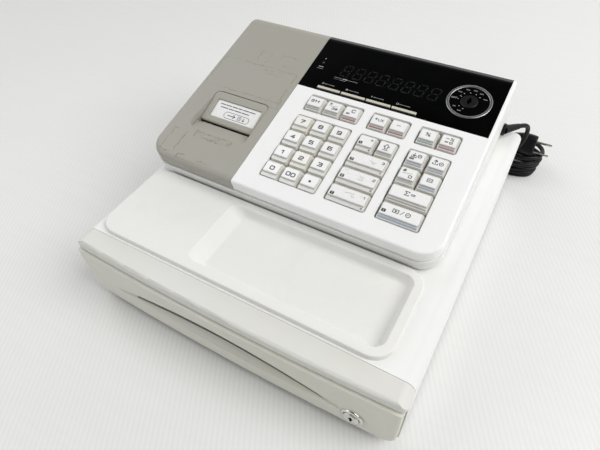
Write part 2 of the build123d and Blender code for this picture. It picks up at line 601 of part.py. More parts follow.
with BuildPart() as kh_hull:
    add(upper_hull(X_SPLIT + 0.2, UX1, corners=(0, R_FR, 0, R_BR)))
    # soft top edges on the right and in front
    es = [e for e in kh_hull.edges() if e.center().X > UX1 - 12 and abs((e.center() - Vector(0, YC, ZC)).dot(Vector(0, -S, C))) < 0.3
          and e.length > 8 and e.center().Y < 132]
    fr = [e for e in kh_hull.edges() if (e.center() - Vector(*world(40, 0, 0))).length < 25 and e.length > 100]
    try:
        fillet(es + fr, 1.8)
    except Exception:
        print("white case top fillet left off")
kh_in = upper_hull(X_SPLIT + 2.6, UX1 - T_UP, t=T_UP, n_low=-30, corners=(0, R_FR - 2.4, 0, 0), rear_r=0)
kh_in_rear = upper_hull(X_SPLIT - 5, PANEL_X1 + 6, t=5.2, n_low=-30, corners=(0, 0, 0, 0), rear_r=REAR_R - 5.2)
front_zone = prism(-200, 200, [(-20, 20), (131.5, 20), (131.5, -60), (-20, -60)])
rear_zone = prism(-200, 200, [(131.5, 20), (260, 20), (260, -60), (131.5, -60)])


def panel_region(x0, x1, t0, t1, s0, n_end):
    """Layer of the outer form between depths t0 and t1, from slope position s0
    over the rounded rear edge and down the rear face to depth n_end."""
    outer = upper_hull(x0, x1, t=t0, n_low=-30, rear_r=REAR_R - t0, corners=(0, 0, 0, 0))
    inner = upper_hull(x0 - 1, x1 + 1, t=t1, n_low=-35, rear_r=REAR_R - t1, corners=(0, 0, 0, 0))
    zone = prism(-200, 200, [(s0, 30), (260, 30), (260, n_end), (s0, n_end)])
    return (outer - inner) & zone


kh_cavity = kh_in & front_zone
kh_cavity_rear = kh_in_rear & rear_zone & prism(X_SPLIT + 2.6, UX1 - T_UP, [(0, 20), (260, 20), (260, -60), (0, -60)])
panel_seat = upper_hull(X_SPLIT - 5, PANEL_X1, t=-3, n_low=-13.2, rear_r=0) \
    - upper_hull(X_SPLIT - 8, PANEL_X1 + 3, t=2.75, n_low=-30, rear_r=REAR_R - 2.75)
panel_seat = panel_seat & prism(-200, 200, [(PANEL_S - 0.15, 30), (260, 30), (260, -13.4), (PANEL_S - 0.15, -13.4)])
panel_sheet = panel_region(PANEL_X0, PANEL_X1 - 0.15, 0.0, 2.6, PANEL_S, -13.0)

with BuildPart() as keyboard_housing:
    add(kh_hull.part)
    add(kh_cavity, mode=Mode.SUBTRACT)
    add(kh_cavity_rear, mode=Mode.SUBTRACT)
    # seat of the black panel
    add(panel_seat, mode=Mode.SUBTRACT)
    # key wells: raised collar walls and a deck that guides the stems
    for x0, x1, s0, s1 in WELLS:
        kblock(x0 - 1.6, x1 + 1.6, s0 - 1.6, s1 + 1.6, -11.5, -1.0)
    for x0, x1, s0, s1 in WELLS:
        with BuildSketch(kb(-9.5)):
            with Locations(((x0 + x1) / 2, (s0 + s1) / 2)):
                RectangleRounded(x1 - x0, s1 - s0, 2.6)
        extrude(amount=12, mode=Mode.SUBTRACT)
    for _, kx, ks, w in KEYS:
        for sx in stems(kx, w):
            kblock(sx - 3.4, sx + 3.4, ks - 3.4, ks + 3.4, -13, -8, mode=Mode.SUBTRACT)
    # panel buttons, display and mode switch openings in the under layer
    for x0, x1 in BTN_X:
        kblock(x0 - 0.8, x1 + 0.8, BTN_S0 - 0.6, BTN_S1 + 0.8, -8, 4, mode=Mode.SUBTRACT)
    kblock(-29, 86, 157, 181, -8, 2, mode=Mode.SUBTRACT)
    with BuildSketch(kb(2)):
        with Locations((MODE_X, MODE_S)):
            Circle(9.6)
    extrude(amount=-12, mode=Mode.SUBTRACT)
    # seam line and notch of the rear part of the right wall
    yz_wedge(UX1 - 0.6, UX1 + 1, [(112.0, 155.2), (112.9, 155.2), (159.8, 82.4), (158.9, 82.4)], mode=Mode.SUBTRACT)
save(keyboard_housing, "keyboard_housing")

with BuildPart() as display_window:
    add(panel_sheet)
    for x0, x1 in BTN_X:
        kblock(x0 - 0.5, x1 + 0.5, BTN_S0 - 0.5, BTN_S1 + 0.5, -8, 4, mode=Mode.SUBTRACT)
    with BuildSketch(kb(2)):
        with Locations((MODE_X, MODE_S)):
            Circle(8.6)
    extrude(amount=-8, mode=Mode.SUBTRACT)
    es = [e for e in display_window.edges() if abs((e.center() - Vector(0, YC, ZC)).dot(Vector(0, C, S)) - PANEL_S) < 0.05
          and abs((e.center() - Vector(0, YC, ZC)).dot(Vector(0, -S, C))) < 0.05 and e.length > 5]
    try:
        fillet(es, 0.9)
    except Exception:
        print("panel front edge left sharp")
save(display_window, "display_window")

with BuildPart() as mode_switch_rotor:
    with BuildSketch(kb(-12.0)):
        with Locations((MODE_X, MODE_S)):
            Circle(8.2)
    extrude(amount=12.5)
    es = [e for e in mode_switch_rotor.edges() if e.length > 40 and abs(depth(e) - 0.5) < 0.05]
    chamfer(es, 0.7)
    with BuildSketch(kb(1.0)):
        with Locations((MODE_X, MODE_S)):
            RectangleRounded(2.0, 9.4, 0.6)
            Circle(2.3)
    extrude(amount=-8.0, mode=Mode.SUBTRACT)
save(mode_switch_rotor, "mode_switch_rotor")

for i, (x0, x1) in enumerate(BTN_X):
    with BuildPart() as btn:
        kblock(x0, x1, BTN_S0, BTN_S1, -3.2, 0.9)
        # rounded front, softer edges at the rear and the ends
        front = [e for e in btn.edges() if abs(depth(e) - 0.9) < 0.05 and e.length > 10
                 and abs((e.center() - Vector(0, YC, ZC)).dot(Vector(0, C, S)) - BTN_S0) < 0.05]
        fillet(front, 1.8)
        es = [e for e in btn.edges() if abs(depth(e) - 0.9) < 0.05
              and (e.center() - Vector(0, YC, ZC)).dot(Vector(0, C, S)) > BTN_S0 + 2.0]
        try:
            fillet(es, 0.45)
        except Exception:
            print("button edges left sharp")
        # foot that keeps the button from coming out
        kblock(x0 + 6, x1 - 6, BTN_S0 + 1.0, BTN_S1 - 1.0, -8.0, -3.0)
    save(btn, f"panel_button_{i + 1}")

# keycaps: tapered skirt, low front ledge and raised top
for name, kx, ks, w in KEYS:
    wx = 19.3 if w == 1 else 39.5
    with BuildPart() as key:
        with BuildSketch(kb(-5.0)):
            with Locations((kx, ks)):
                RectangleRounded(wx, 19.5, 1.9)
        extrude(amount=1.4)
        with BuildSketch(kb(-3.6)):
            with Locations((kx, ks)):
                RectangleRounded(wx, 19.5, 1.9)
        with BuildSketch(kb(0.5)):
            with Locations((kx, ks - 0.4)):
                RectangleRounded(wx - 3.1, 17.5, 1.6)
        loft()
        with BuildSketch(kb(0.2)):
            with Locations((kx, ks + 0.7)):
                RectangleRounded(wx - 3.4, 12.6, 1.4)
        extrude(amount=2.5, taper=13)
        es = [e for e in key.edges() if abs(depth(e) - 2.7) < 0.05]
        fillet(es, 0.5)
        for sx in stems(kx, w):
            kblock(sx - 3.0, sx + 3.0, ks - 3.0, ks + 3.0, -13.2, -4.8)
    save(key, name)

# grey printer cover
SC_X0, SC_X1, SC_S0, SC_S1 = -138.5, -71.0, 41.0, 58.4
PA_S, PA_N = 94.1, -1.9           # pivot line of the platen frame in (slope, depth)
PLATEN_PIVOT = world(0, PA_S, PA_N)
with BuildPart() as pc_hull:
    add(upper_hull(UX0, X_SPLIT - 0.2, corners=(R_FL, 0, R_BL, 0)))
    es = [e for e in pc_hull.edges() if e.center().X < UX0 + 14 and abs((e.center() - Vector(0, YC, ZC)).dot(Vector(0, -S, C))) < 0.3
          and e.length > 8 and e.center().Y < 132]
    fr = [e for e in pc_hull.edges() if (e.center() - Vector(*world(-100, 0, 0))).length < 25 and e.length > 60]
    try:
        fillet(es + fr, 2.2)
    except Exception:
        print("grey cover top fillet left off")
pc_cavity = upper_hull(UX0 + 2.4, X_SPLIT - 2.6, t=2.4, n_low=-30, corners=(R_FL - 2.4, 0, R_BL - 2.4, 0), rear_r=REAR_R - 2.4)
scoop_block = kbox(SC_X0 - 4.5, SC_X1 + 2.2, SC_S0 - 1, SC_S1, -9.8, -2.0) & \
    prism(-200, 200, [(38, 0), (38, -3.4), (SC_S1, -10.6), (SC_S1, 0)])
pocket_edge = prism(-200, 200, [(SC_S1 - 1, 0), (SC_S1 - 1, -10.6), (98, -3.6), (98, 0)])
pocket_side_l = kbox(SC_X0 - 4.5, SC_X0 - 0.2, SC_S1 - 1, 98.0, -9.8, -2.0) & pocket_edge
pocket_side_r = kbox(SC_X1, SC_X1 + 2.2, SC_S1 - 1, 98.0, -9.8, -2.0) & pocket_edge
with BuildPart() as scoop_column:
    with BuildSketch(kb(1.0)):
        with Locations(((SC_X0 + SC_X1) / 2, (SC_S0 + 97.0) / 2)):
            RectangleRounded(SC_X1 - SC_X0, 97.0 - SC_S0, 7.0)
    extrude(amount=-14)
scoop_tool = scoop_column.part & prism(-200, 200, [(38, 5), (38, 1.0), (SC_S0, -0.2), (SC_S1 - 1.0, -7.6), (SC_S1 + 4, -30),
                                                   (120, -30), (120, 5)])
hinge_roots = [kbox(x0, x1, rear_s(N_SPLIT) - 6.0, rear_s(N_SPLIT) + 0.6, N_SPLIT + 0.4, N_SPLIT + 5.0) & pc_hull.part
               for x0, x1 in LUGS_COVER]

with BuildPart() as printer_cover:
    add(pc_hull.part)
    add(pc_cavity, mode=Mode.SUBTRACT)
    # block that holds the scoop, then the scoop and the opening for the platen frame
    add(scoop_block)
    add(pocket_side_l)
    add(pocket_side_r)
    # scoop: floor falls towards the slot
    add(scoop_tool, mode=Mode.SUBTRACT)
    # sloping left cheek of the pocket
    with BuildSketch(kb(0.3)):
        with BuildLine():
            Polyline((SC_X0 + 1, 44.0), (SC_X0 - 2.6, 47.0), (SC_X0 - 3.4, 56.0), (SC_X0 + 1, 93.0), close=True)
        make_face()
    extrude(amount=-5.0, taper=14, mode=Mode.SUBTRACT)
    # bores for the pins of the platen frame
    for x0, x1 in ((SC_X0 - 1.4, SC_X0 + 5.0), (SC_X1 - 5.0, SC_X1 + 1.4)):
        rod_x(PLATEN_PIVOT[1], PLATEN_PIVOT[2], 1.3, x0, x1, mode=Mode.SUBTRACT)
    # hinge barrels and stub pins at the rear
    for x0, x1 in LUGS_CASE:
        rod_x(HINGE[1], HINGE[2], 3.5, x0 - 0.4, x1 + 0.4, mode=Mode.SUBTRACT)
    for k, (x0, x1) in enumerate(LUGS_COVER):
        rod_x(HINGE[1], HINGE[2], 3.0, x0, x1)
        add(hinge_roots[k])
        c0, c1 = LUGS_CASE[k]
        if k == 0:
            rod_x(HINGE[1], HINGE[2], 1.5, x1 - 1, c1 - 1.0)
        else:
            rod_x(HINGE[1], HINGE[2], 1.5, c0 + 1.0, x0 + 1)
save(printer_cover, "printer_cover")

# platen frame with the label seat, lifting on its rear knuckle
with BuildPart() as platen_arm:
    wedge(SC_X0 + 0.45, SC_X1 - 0.45, [(96.1, -0.3), (93.4, -0.3), (66.0, -4.6), (61.0, -5.6), (60.0, -6.6), (60.0, -8.6), (66.0, -8.4),
                                       (93.0, -5.2), (95.6, -3.9), (96.5, -2.6), (96.5, -1.2)])
    # rear corners follow the rounded opening of the cover
    with BuildSketch(kb(6.0)):
        with Locations(((SC_X0 + SC_X1) / 2, (SC_S0 + 97.0) / 2)):
            RectangleRounded(SC_X1 - SC_X0 - 0.9, 97.0 - SC_S0 - 0.9, 7.2)
    extrude(amount=-24, mode=Mode.INTERSECT)
    # pins in the side walls of the opening
    for x0, x1 in ((SC_X0 - 1.0, SC_X0 + 4.0), (SC_X1 - 4.0, SC_X1 + 1.0)):
        rod_x(PLATEN_PIVOT[1], PLATEN_PIVOT[2], 1.15, x0, x1)
    # label window seat
    with BuildSketch(Plane(origin=world(0, 66.0, -4.6), x_dir=(1, 0, 0),
                           z_dir=(0, -(S * math.cos(math.radians(8.92)) + C * math.sin(math.radians(8.92))) * 1.0,
                                  C * math.cos(math.radians(8.92)) - S * math.sin(math.radians(8.92))))):
        with Locations((-103.5, 11.0)):
            RectangleRounded(55.5, 21.5, 1.0)
    extrude(amount=1.5, both=True, mode=Mode.SUBTRACT)
    # side arms carrying the platen shaft
    for x0, x1 in ((-130.0, -127.0), (-82.0, -79.0)):
        wedge(x0, x1, [(66, -7.0), (90, -5.0), (80, -12.0), (70, -16.5), (64, -16.5), (62, -9.0)])
    p = world(0, 67.0, -13.5)
    rod_x(p[1], p[2], 3.6, -127.2, -81.8)
save(platen_arm, "platen_arm")

# printer mechanism in its bay
with BuildPart() as printer_mechanism:
    block(-134.0, -76.0, -22.0, 14.0, 85.05, 88.0)
    for x0, x1 in ((-134.0, -131.4), (-78.6, -76.0)):
        yz_wedge(x0, x1, [(-22, 87.5), (14, 87.5), (14, 102.0), (4, 104.0), (-10, 104.0), (-22, 98.0)])
    rod_x(-12.0, 96.0, 3.0, -131.8, -78.2)
    block(-120.0, -104.0, -17.0, -7.0, 89.5, 102.5)
    rod_x(6.0, 94.0, 5.0, -131.8, -112.0)
    rod_x(6.0, 94.0, 1.5, -131.8, -78.2)
    block(-131.6, -78.4, 11.5, 13.8, 87.8, 99.0)
    rod_x(-4.0, 93.0, 7.0, -76.2, -72.5)
save(printer_mechanism, "printer_mechanism")

# circuit board under the keys, on posts of the deck
with BuildPart() as main_board:
    kblock(-50.0, 132.0, 6.0, 128.0, -18.4, -16.8)
    for _, kx, ks, w in KEYS:
        for sx in stems(kx, w):
            with BuildSketch(kb(-16.9)):
                with Locations((sx, ks)):
                    Circle(2.6)
            extrude(amount=0.4)
save(main_board, "main_board")

# mains transformer on the floor of the lower case
with BuildPart() as power_transformer:
    block(38.0, 88.0, 88.0, 128.0, 88.0, 122.0)
    block(30.0, 96.0, 100.0, 116.0, 85.05, 88.1)
    block(48.0, 78.0, 80.0, 136.0, 92.0, 118.0)
    es = [e for e in power_transformer.edges() if abs(e.tangent_at(0.5).Z) > 0.9 and e.center().Z > 95 and (e.center().Y < 81 or e.center().Y > 135)]
    fillet(es, 4.0)
save(power_transformer, "power_transformer")

# ======================================================== mains cord
GL = Vector(LOW_R, 158.6, 91.0)
GDIR = Vector(0.62, 0.78, -0.08).normalized()
CORD_D = 5.0
with BuildPart() as cord_gland:
    rod_x(GL.Y, GL.Z, 6.6, LOW_R + 0.1, LOW_R + 3.6)
    fillet([e for e in cord_gland.edges() if abs(e.center().X - (LOW_R + 3.6)) < 0.05 and e.length > 30], 0.8)
    base = GL + Vector(2.0, 0, 0)
    pl = Plane(origin=base, z_dir=GDIR)
    with BuildSketch(pl):
        Circle(5.0)
    with BuildSketch(pl.offset(20.0)):
        Circle(3.1)
    loft()
    # keep the sleeve clear of the wall
    block(LOW_R - 20, LOW_R + 0.1, 120, 200, 70, 110, mode=Mode.SUBTRACT)
    rod_x(GL.Y, GL.Z, 3.9, LOW_R - 7.5, LOW_R + 0.6)
    rod_x(GL.Y, GL.Z, 5.4, LOW_R - 7.5, LOW_R - 3.6)
save(cord_gland, "cord_gland")

CORD_EXIT = base + GDIR * 20.0
ROUTE = [CORD_EXIT, CORD_EXIT + GDIR * 13.2, Vector(168.5, 194.3, 78.0), Vector(167.0, 195.5, 59.0),
         Vector(160.0, 195.8, 40.0), Vector(147.0, 199.0, 24.0)]
runs = [(b - a).length for a, b in zip(ROUTE, ROUTE[1:])]
radii = []
for i in range(1, len(ROUTE) - 1):
    turn = (ROUTE[i] - ROUTE[i - 1]).get_angle(ROUTE[i + 1] - ROUTE[i])
    radii.append(0.45 * min(runs[i - 1], runs[i]) / math.tan(math.radians(turn) / 2))
print("cord runs", [round(r, 1) for r in runs], "radii", [round(r, 1) for r in radii])
with BuildPart() as power_cord:
    with BuildLine() as path:
        FilletPolyline(*ROUTE, radius=radii)
    with BuildSketch(Plane(origin=ROUTE[0], z_dir=(ROUTE[1] - ROUTE[0]))):
        Circle(CORD_D / 2)
    sweep()
save(power_cord, "power_cord")
print("cord tube length", round(path.line.length if hasattr(path.line, "length") else sum(e.length for e in path.edges()), 1),
      "area*len", round(math.pi * CORD_D ** 2 / 4 * sum(e.length for e in path.edges()), 1), "vol", round(power_cord.part.volume, 1))

# hand-wound hank behind the rear right corner
HK = dict(x0=72.0, x1=198.0, y0=190.5, y1=243.0, z1=29.0)
with BuildPart() as cord_bundle:
    with BuildSketch(Plane.XY):
        with Locations(((HK["x0"] + HK["x1"]) / 2, (HK["y0"] + HK["y1"]) / 2)):
            RectangleRounded(HK["x1"] - HK["x0"], HK["y1"] - HK["y0"], 25.5)
    extrude(amount=HK["z1"])
    fillet([e for e in cord_bundle.edges() if abs(e.center().Z - HK["z1"]) < 0.1 or abs(e.center().Z) < 0.1], 7.0)
save(cord_bundle, "cord_bundle")

# two-blade plug lying on the hank, rolled on its side
PLUG_C = Vector(167.0, 213.5, 41.4)
ROLL = 46.0
with BuildPart() as power_plug:
    base_pl = Plane(origin=(150.0, PLUG_C.Y, PLUG_C.Z), x_dir=(0, math.cos(math.radians(ROLL)), math.sin(math.radians(ROLL))), z_dir=(1, 0, 0))
    with BuildSketch(base_pl):
        RectangleRounded(16.0, 12.0, 5.5)
    with BuildSketch(base_pl.offset(12.0)):
        RectangleRounded(25.0, 16.5, 7.5)
    with BuildSketch(base_pl.offset(32.0)):
        RectangleRounded(26.0, 17.0, 7.5)
    loft()
    fillet([e for e in power_plug.edges() if abs(e.center().X - 182.0) < 0.1], 1.6)
    for k in (-1, 1):
        with BuildSketch(base_pl.offset(31.0)):
            with Locations((k * 6.35, 0)):
                Rectangle(1.5, 6.3)
        extrude(amount=18.0)
    # tail of the cord moulding, bent down into the hank
    with BuildSketch(base_pl.offset(0.2)):
        Circle(4.2)
    extrude(amount=-12.0)
save(power_plug, "power_plug")
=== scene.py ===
import math

import bmesh
import bpy
import numpy as np
from mathutils import Matrix, Vector


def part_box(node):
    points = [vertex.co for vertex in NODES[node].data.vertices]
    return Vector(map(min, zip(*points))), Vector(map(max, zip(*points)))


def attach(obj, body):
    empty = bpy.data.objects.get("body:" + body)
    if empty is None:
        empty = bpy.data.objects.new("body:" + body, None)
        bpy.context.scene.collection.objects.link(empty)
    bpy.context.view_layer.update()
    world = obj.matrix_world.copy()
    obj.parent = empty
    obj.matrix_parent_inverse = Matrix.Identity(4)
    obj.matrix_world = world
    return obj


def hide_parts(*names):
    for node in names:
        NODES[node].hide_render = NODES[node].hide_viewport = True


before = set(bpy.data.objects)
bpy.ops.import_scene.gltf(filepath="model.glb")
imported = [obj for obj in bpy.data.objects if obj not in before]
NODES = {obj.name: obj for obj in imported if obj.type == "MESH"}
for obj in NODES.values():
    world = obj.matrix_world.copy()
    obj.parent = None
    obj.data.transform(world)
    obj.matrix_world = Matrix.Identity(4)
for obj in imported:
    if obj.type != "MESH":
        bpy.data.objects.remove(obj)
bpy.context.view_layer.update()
scene = bpy.context.scene

MM = 0.001
C, S = math.cos(math.radians(13.6)), math.sin(math.radians(13.6))
YC, ZC = -63.7, 108.65


def W(x, s, n):
    """Point of the sloped keyboard plane: x across, s up the slope, n out of it, in mm."""
    return Vector((x, YC + s * C - n * S, ZC + s * S + n * C)) * MM


def lin(r, g, b):
    return tuple((v / 255 / 12.92 if v / 255 <= 0.04045 else ((v / 255 + 0.055) / 1.055) ** 2.4) for v in (r, g, b)) + (1.0,)


# ------------------------------------------------------------------ materials
class Sh:
    """A Principled material with a few helpers for its nodes. Coordinates are in metres, in the row frame."""

    def __init__(self, name):
        self.m = bpy.data.materials.new(name)
        self.m.use_nodes = True
        self.t = self.m.node_tree
        self.t.nodes.clear()
        self.out = self.t.nodes.new("ShaderNodeOutputMaterial")
        self.b = self.t.nodes.new("ShaderNodeBsdfPrincipled")
        self.t.links.new(self.b.outputs[0], self.out.inputs[0])
        self.co = self.t.nodes.new("ShaderNodeTexCoord").outputs["Object"]
        self._xs = None

    def put(self, sock, v):
        if isinstance(v, bpy.types.NodeSocket):
            self.t.links.new(v, sock)
        else:
            sock.default_value = v

    def set(self, name, v):
        self.put(self.b.inputs[name], v)
        return self

    def math(self, op, *args, clamp=False):
        n = self.t.nodes.new("ShaderNodeMath")
        n.operation = op
        n.use_clamp = clamp
        for i, a in enumerate(args):
            self.put(n.inputs[i], a)
        return n.outputs[0]

    def dot(self, vec, co=None):
        n = self.t.nodes.new("ShaderNodeVectorMath")
        n.operation = "DOT_PRODUCT"
        self.put(n.inputs[0], co or self.co)
        n.inputs[1].default_value = vec
        return n.outputs["Value"]

    def xyz(self):
        if self._xs is None:
            n = self.t.nodes.new("ShaderNodeSeparateXYZ")
            self.put(n.inputs[0], self.co)
            self._xs = tuple(n.outputs)
        return self._xs

    def slope(self):
        """(x, s, n) of the keyboard plane in mm."""
        x = self.math("MULTIPLY", self.xyz()[0], 1000.0)
        s = self.math("SUBTRACT", self.dot((0, C * 1000, S * 1000)), YC * C + ZC * S)
        n = self.math("SUBTRACT", self.dot((0, -S * 1000, C * 1000)), -YC * S + ZC * C)
        return x, s, n

    def scaled(self, vec, co=None):
        n = self.t.nodes.new("ShaderNodeVectorMath")
        n.operation = "MULTIPLY"
        self.put(n.inputs[0], co or self.co)
        n.inputs[1].default_value = vec
        return n.outputs[0]

    def noise(self, scale, detail=2.0, rough=0.5, distort=0.0, co=None):
        n = self.t.nodes.new("ShaderNodeTexNoise")
        self.put(n.inputs["Vector"], co or self.co)
        n.inputs["Scale"].default_value = scale
        n.inputs["Detail"].default_value = detail
        n.inputs["Roughness"].default_value = rough
        n.inputs["Distortion"].default_value = distort
        return n.outputs[0]

    def cells(self, scale, feature="F1", out="Distance", co=None):
        n = self.t.nodes.new("ShaderNodeTexVoronoi")
        n.feature = feature
        self.put(n.inputs["Vector"], co or self.co)
        n.inputs["Scale"].default_value = scale
        return n.outputs[out]

    def map(self, v, a, b, c=0.0, d=1.0):
        n = self.t.nodes.new("ShaderNodeMapRange")
        n.interpolation_type = "SMOOTHSTEP"
        n.clamp = True
        self.put(n.inputs[0], v)
        for i, q in enumerate((a, b, c, d)):
            n.inputs[i + 1].default_value = q
        return n.outputs[0]

    def mix(self, f, a, b, mode="MIX"):
        n = self.t.nodes.new("ShaderNodeMix")
        n.data_type = "RGBA"
        n.blend_type = mode
        self.put(n.inputs[0], f)
        self.put(n.inputs[6], a)
        self.put(n.inputs[7], b)
        return n.outputs[2]

    def bump(self, h, strength=0.2, dist=0.0001, normal=None):
        n = self.t.nodes.new("ShaderNodeBump")
        n.inputs["Strength"].default_value = strength
        n.inputs["Distance"].default_value = dist
        self.put(n.inputs["Height"], h)
        if normal is not None:
            self.put(n.inputs["Normal"], normal)
        self.put(self.b.inputs["Normal"], n.outputs[0])
        return n.outputs[0]

    def rect(self, u, v, u0, u1, v0, v1, soft=0.4):
        """1 inside a rectangle of the coordinates u and v, with soft edges."""
        du = self.math("SUBTRACT", self.math("ABSOLUTE", self.math("SUBTRACT", u, (u0 + u1) / 2)), (u1 - u0) / 2)
        dv = self.math("SUBTRACT", self.math("ABSOLUTE", self.math("SUBTRACT", v, (v0 + v1) / 2)), (v1 - v0) / 2)
        return self.map(self.math("MAXIMUM", du, dv), -soft, soft, 1.0, 0.0)

    def ring(self, u, v, u0, u1, v0, v1, width, wobble):
        """1 on the outline of a rectangle with uneven edges."""
        du = self.math("SUBTRACT", self.math("ABSOLUTE", self.math("SUBTRACT", u, (u0 + u1) / 2)), (u1 - u0) / 2)
        dv = self.math("SUBTRACT", self.math("ABSOLUTE", self.math("SUBTRACT", v, (v0 + v1) / 2)), (v1 - v0) / 2)
        d = self.math("ADD", self.math("MAXIMUM", du, dv), wobble)
        return self.map(self.math("ABSOLUTE", d), width * 0.35, width, 1.0, 0.0)

    def tint(self, colour, f, other):
        return self.mix(f, colour, other)


def moulded(name, rgb, rough=0.46, grain=0.10, warm=0.05, specks=0.35, spec=0.42, smudge=0.0, coarse=1.0):
    """Moulded plastic: spark-eroded grain, uneven gloss, a little yellowing, dust specks and faint rubbing marks."""
    h = Sh(name)
    base = tuple(rgb) + (1.0,)
    yellow = (rgb[0] * 0.985, rgb[1] * 0.955, rgb[2] * 0.86, 1.0)
    dark = (rgb[0] * 0.90, rgb[1] * 0.895, rgb[2] * 0.875, 1.0)
    light = tuple(min(1.0, v * 1.035) for v in rgb) + (1.0,)
    patch = h.noise(7.0, 3.0, 0.55)
    col = h.mix(h.math("MULTIPLY", h.map(patch, 0.42, 0.72), warm * 4), base, yellow)
    mott = h.noise(55.0, 4.0, 0.6, 0.4)
    col = h.mix(h.map(mott, 0.50, 0.75, 0.0, 0.28), col, light)
    fine = h.noise(1500.0 * coarse, 2.0, 0.6)
    col = h.mix(h.map(fine, 0.38, 0.62, 0.22, 0.0), col, dark)
    if smudge:
        rub = h.noise(16.0, 5.0, 0.62, 1.2)
        col = h.mix(h.map(rub, 0.54, 0.70, 0.0, smudge), col, dark)
    if specks:
        cell = h.cells(85.0)
        pick = h.noise(31.0, 0.0)
        dust = h.math("MULTIPLY", h.map(cell, 0.018, 0.034, 1.0, 0.0), h.map(pick, 0.50, 0.60))
        col = h.mix(h.math("MULTIPLY", dust, specks), col, (rgb[0] * 0.35, rgb[1] * 0.32, rgb[2] * 0.27, 1.0))
    h.set("Base Color", col)
    h.set("Roughness", h.math("ADD", h.map(h.noise(38.0, 3.0, 0.6), 0.3, 0.7, rough - 0.05, rough + 0.06), h.map(fine, 0.3, 0.7, -0.02, 0.03)))
    h.b.inputs["Specular IOR Level"].default_value = spec
    g1 = h.noise(1300.0 * coarse, 2.0, 0.6)
    g2 = h.noise(330.0 * coarse, 1.0, 0.5)
    h.bump(h.math("ADD", g1, h.math("MULTIPLY", g2, 0.5)), grain, 0.00012)
    return h


def paint(h, *names):
    for n in names:
        me = NODES[n].data
        me.materials.clear()
        me.materials.append(h.m)


SHELL = moulded("cabinet_white_plastic", (0.87, 0.872, 0.862), 0.47, 0.10, 0.03, 0.25, smudge=0.10)
HOUSING = moulded("keyboard_white_plastic", (0.885, 0.89, 0.885), 0.44, 0.10, 0.02, 0.2)
TRAY = moulded("tray_white_plastic", (0.808, 0.808, 0.788), 0.50, 0.12, 0.05, 0.35, smudge=0.22)
BAND = moulded("lower_case_white_plastic", (0.80, 0.80, 0.785), 0.46, 0.10, 0.05, 0.2)
BEZEL = moulded("bezel_cream_plastic", (0.715, 0.716, 0.687), 0.45, 0.10, 0.08, 0.6)
DRAWER = moulded("drawer_cream_plastic", (0.690, 0.689, 0.622), 0.45, 0.10, 0.08, 0.5)
TILL = moulded("till_dark_grey_plastic", (0.085, 0.085, 0.088), 0.52, 0.16, 0.0, 0.15)
CLIP = moulded("clip_black_plastic", (0.022, 0.022, 0.023), 0.42, 0.12, 0.0, 0.0)
MECH = moulded("mechanism_brown_black_plastic", (0.058, 0.051, 0.041), 0.40, 0.12, 0.0, 0.0)
BUTTON = moulded("panel_button_beige_plastic", (0.60, 0.575, 0.49), 0.38, 0.06, 0.1, 0.2, spec=0.5)
# painted shade: the front strip of each button (s below about 137 mm) is painted near black, standing in for the shade
# on its front face and in the recess in front of it
_x, _s, _n = BUTTON.slope()
BUTTON.set("Base Color", BUTTON.mix(BUTTON.map(_s, 136.5, 137.4), (0.0030, 0.0032, 0.0031, 1.0), BUTTON.b.inputs["Base Color"].links[0].from_socket))
_x, _y, _z = SHELL.xyz()
# painted shade: the upper part of the shell's rounded right edge is painted darker to tone down the light that falls on
# it
_edge = SHELL.math("MULTIPLY", SHELL.map(_x, 0.1525, 0.1600), SHELL.map(_z, 0.060, 0.071))
SHELL.set("Base Color", SHELL.mix(SHELL.math("MULTIPLY", _edge, 0.55), SHELL.b.inputs["Base Color"].links[0].from_socket, (0.745, 0.747, 0.738, 1.0)))
paint(SHELL, "cabinet_shell")
paint(HOUSING, "keyboard_housing")
paint(TRAY, "change_tray")
paint(BAND, "lower_housing")
paint(BEZEL, "front_bezel")
paint(DRAWER, "drawer_front")
paint(TILL, "till_insert")
paint(CLIP, "bill_clip_left", "bill_clip_right")
paint(MECH, "printer_mechanism")
paint(BUTTON, "panel_button_1", "panel_button_2", "panel_button_3", "panel_button_4")


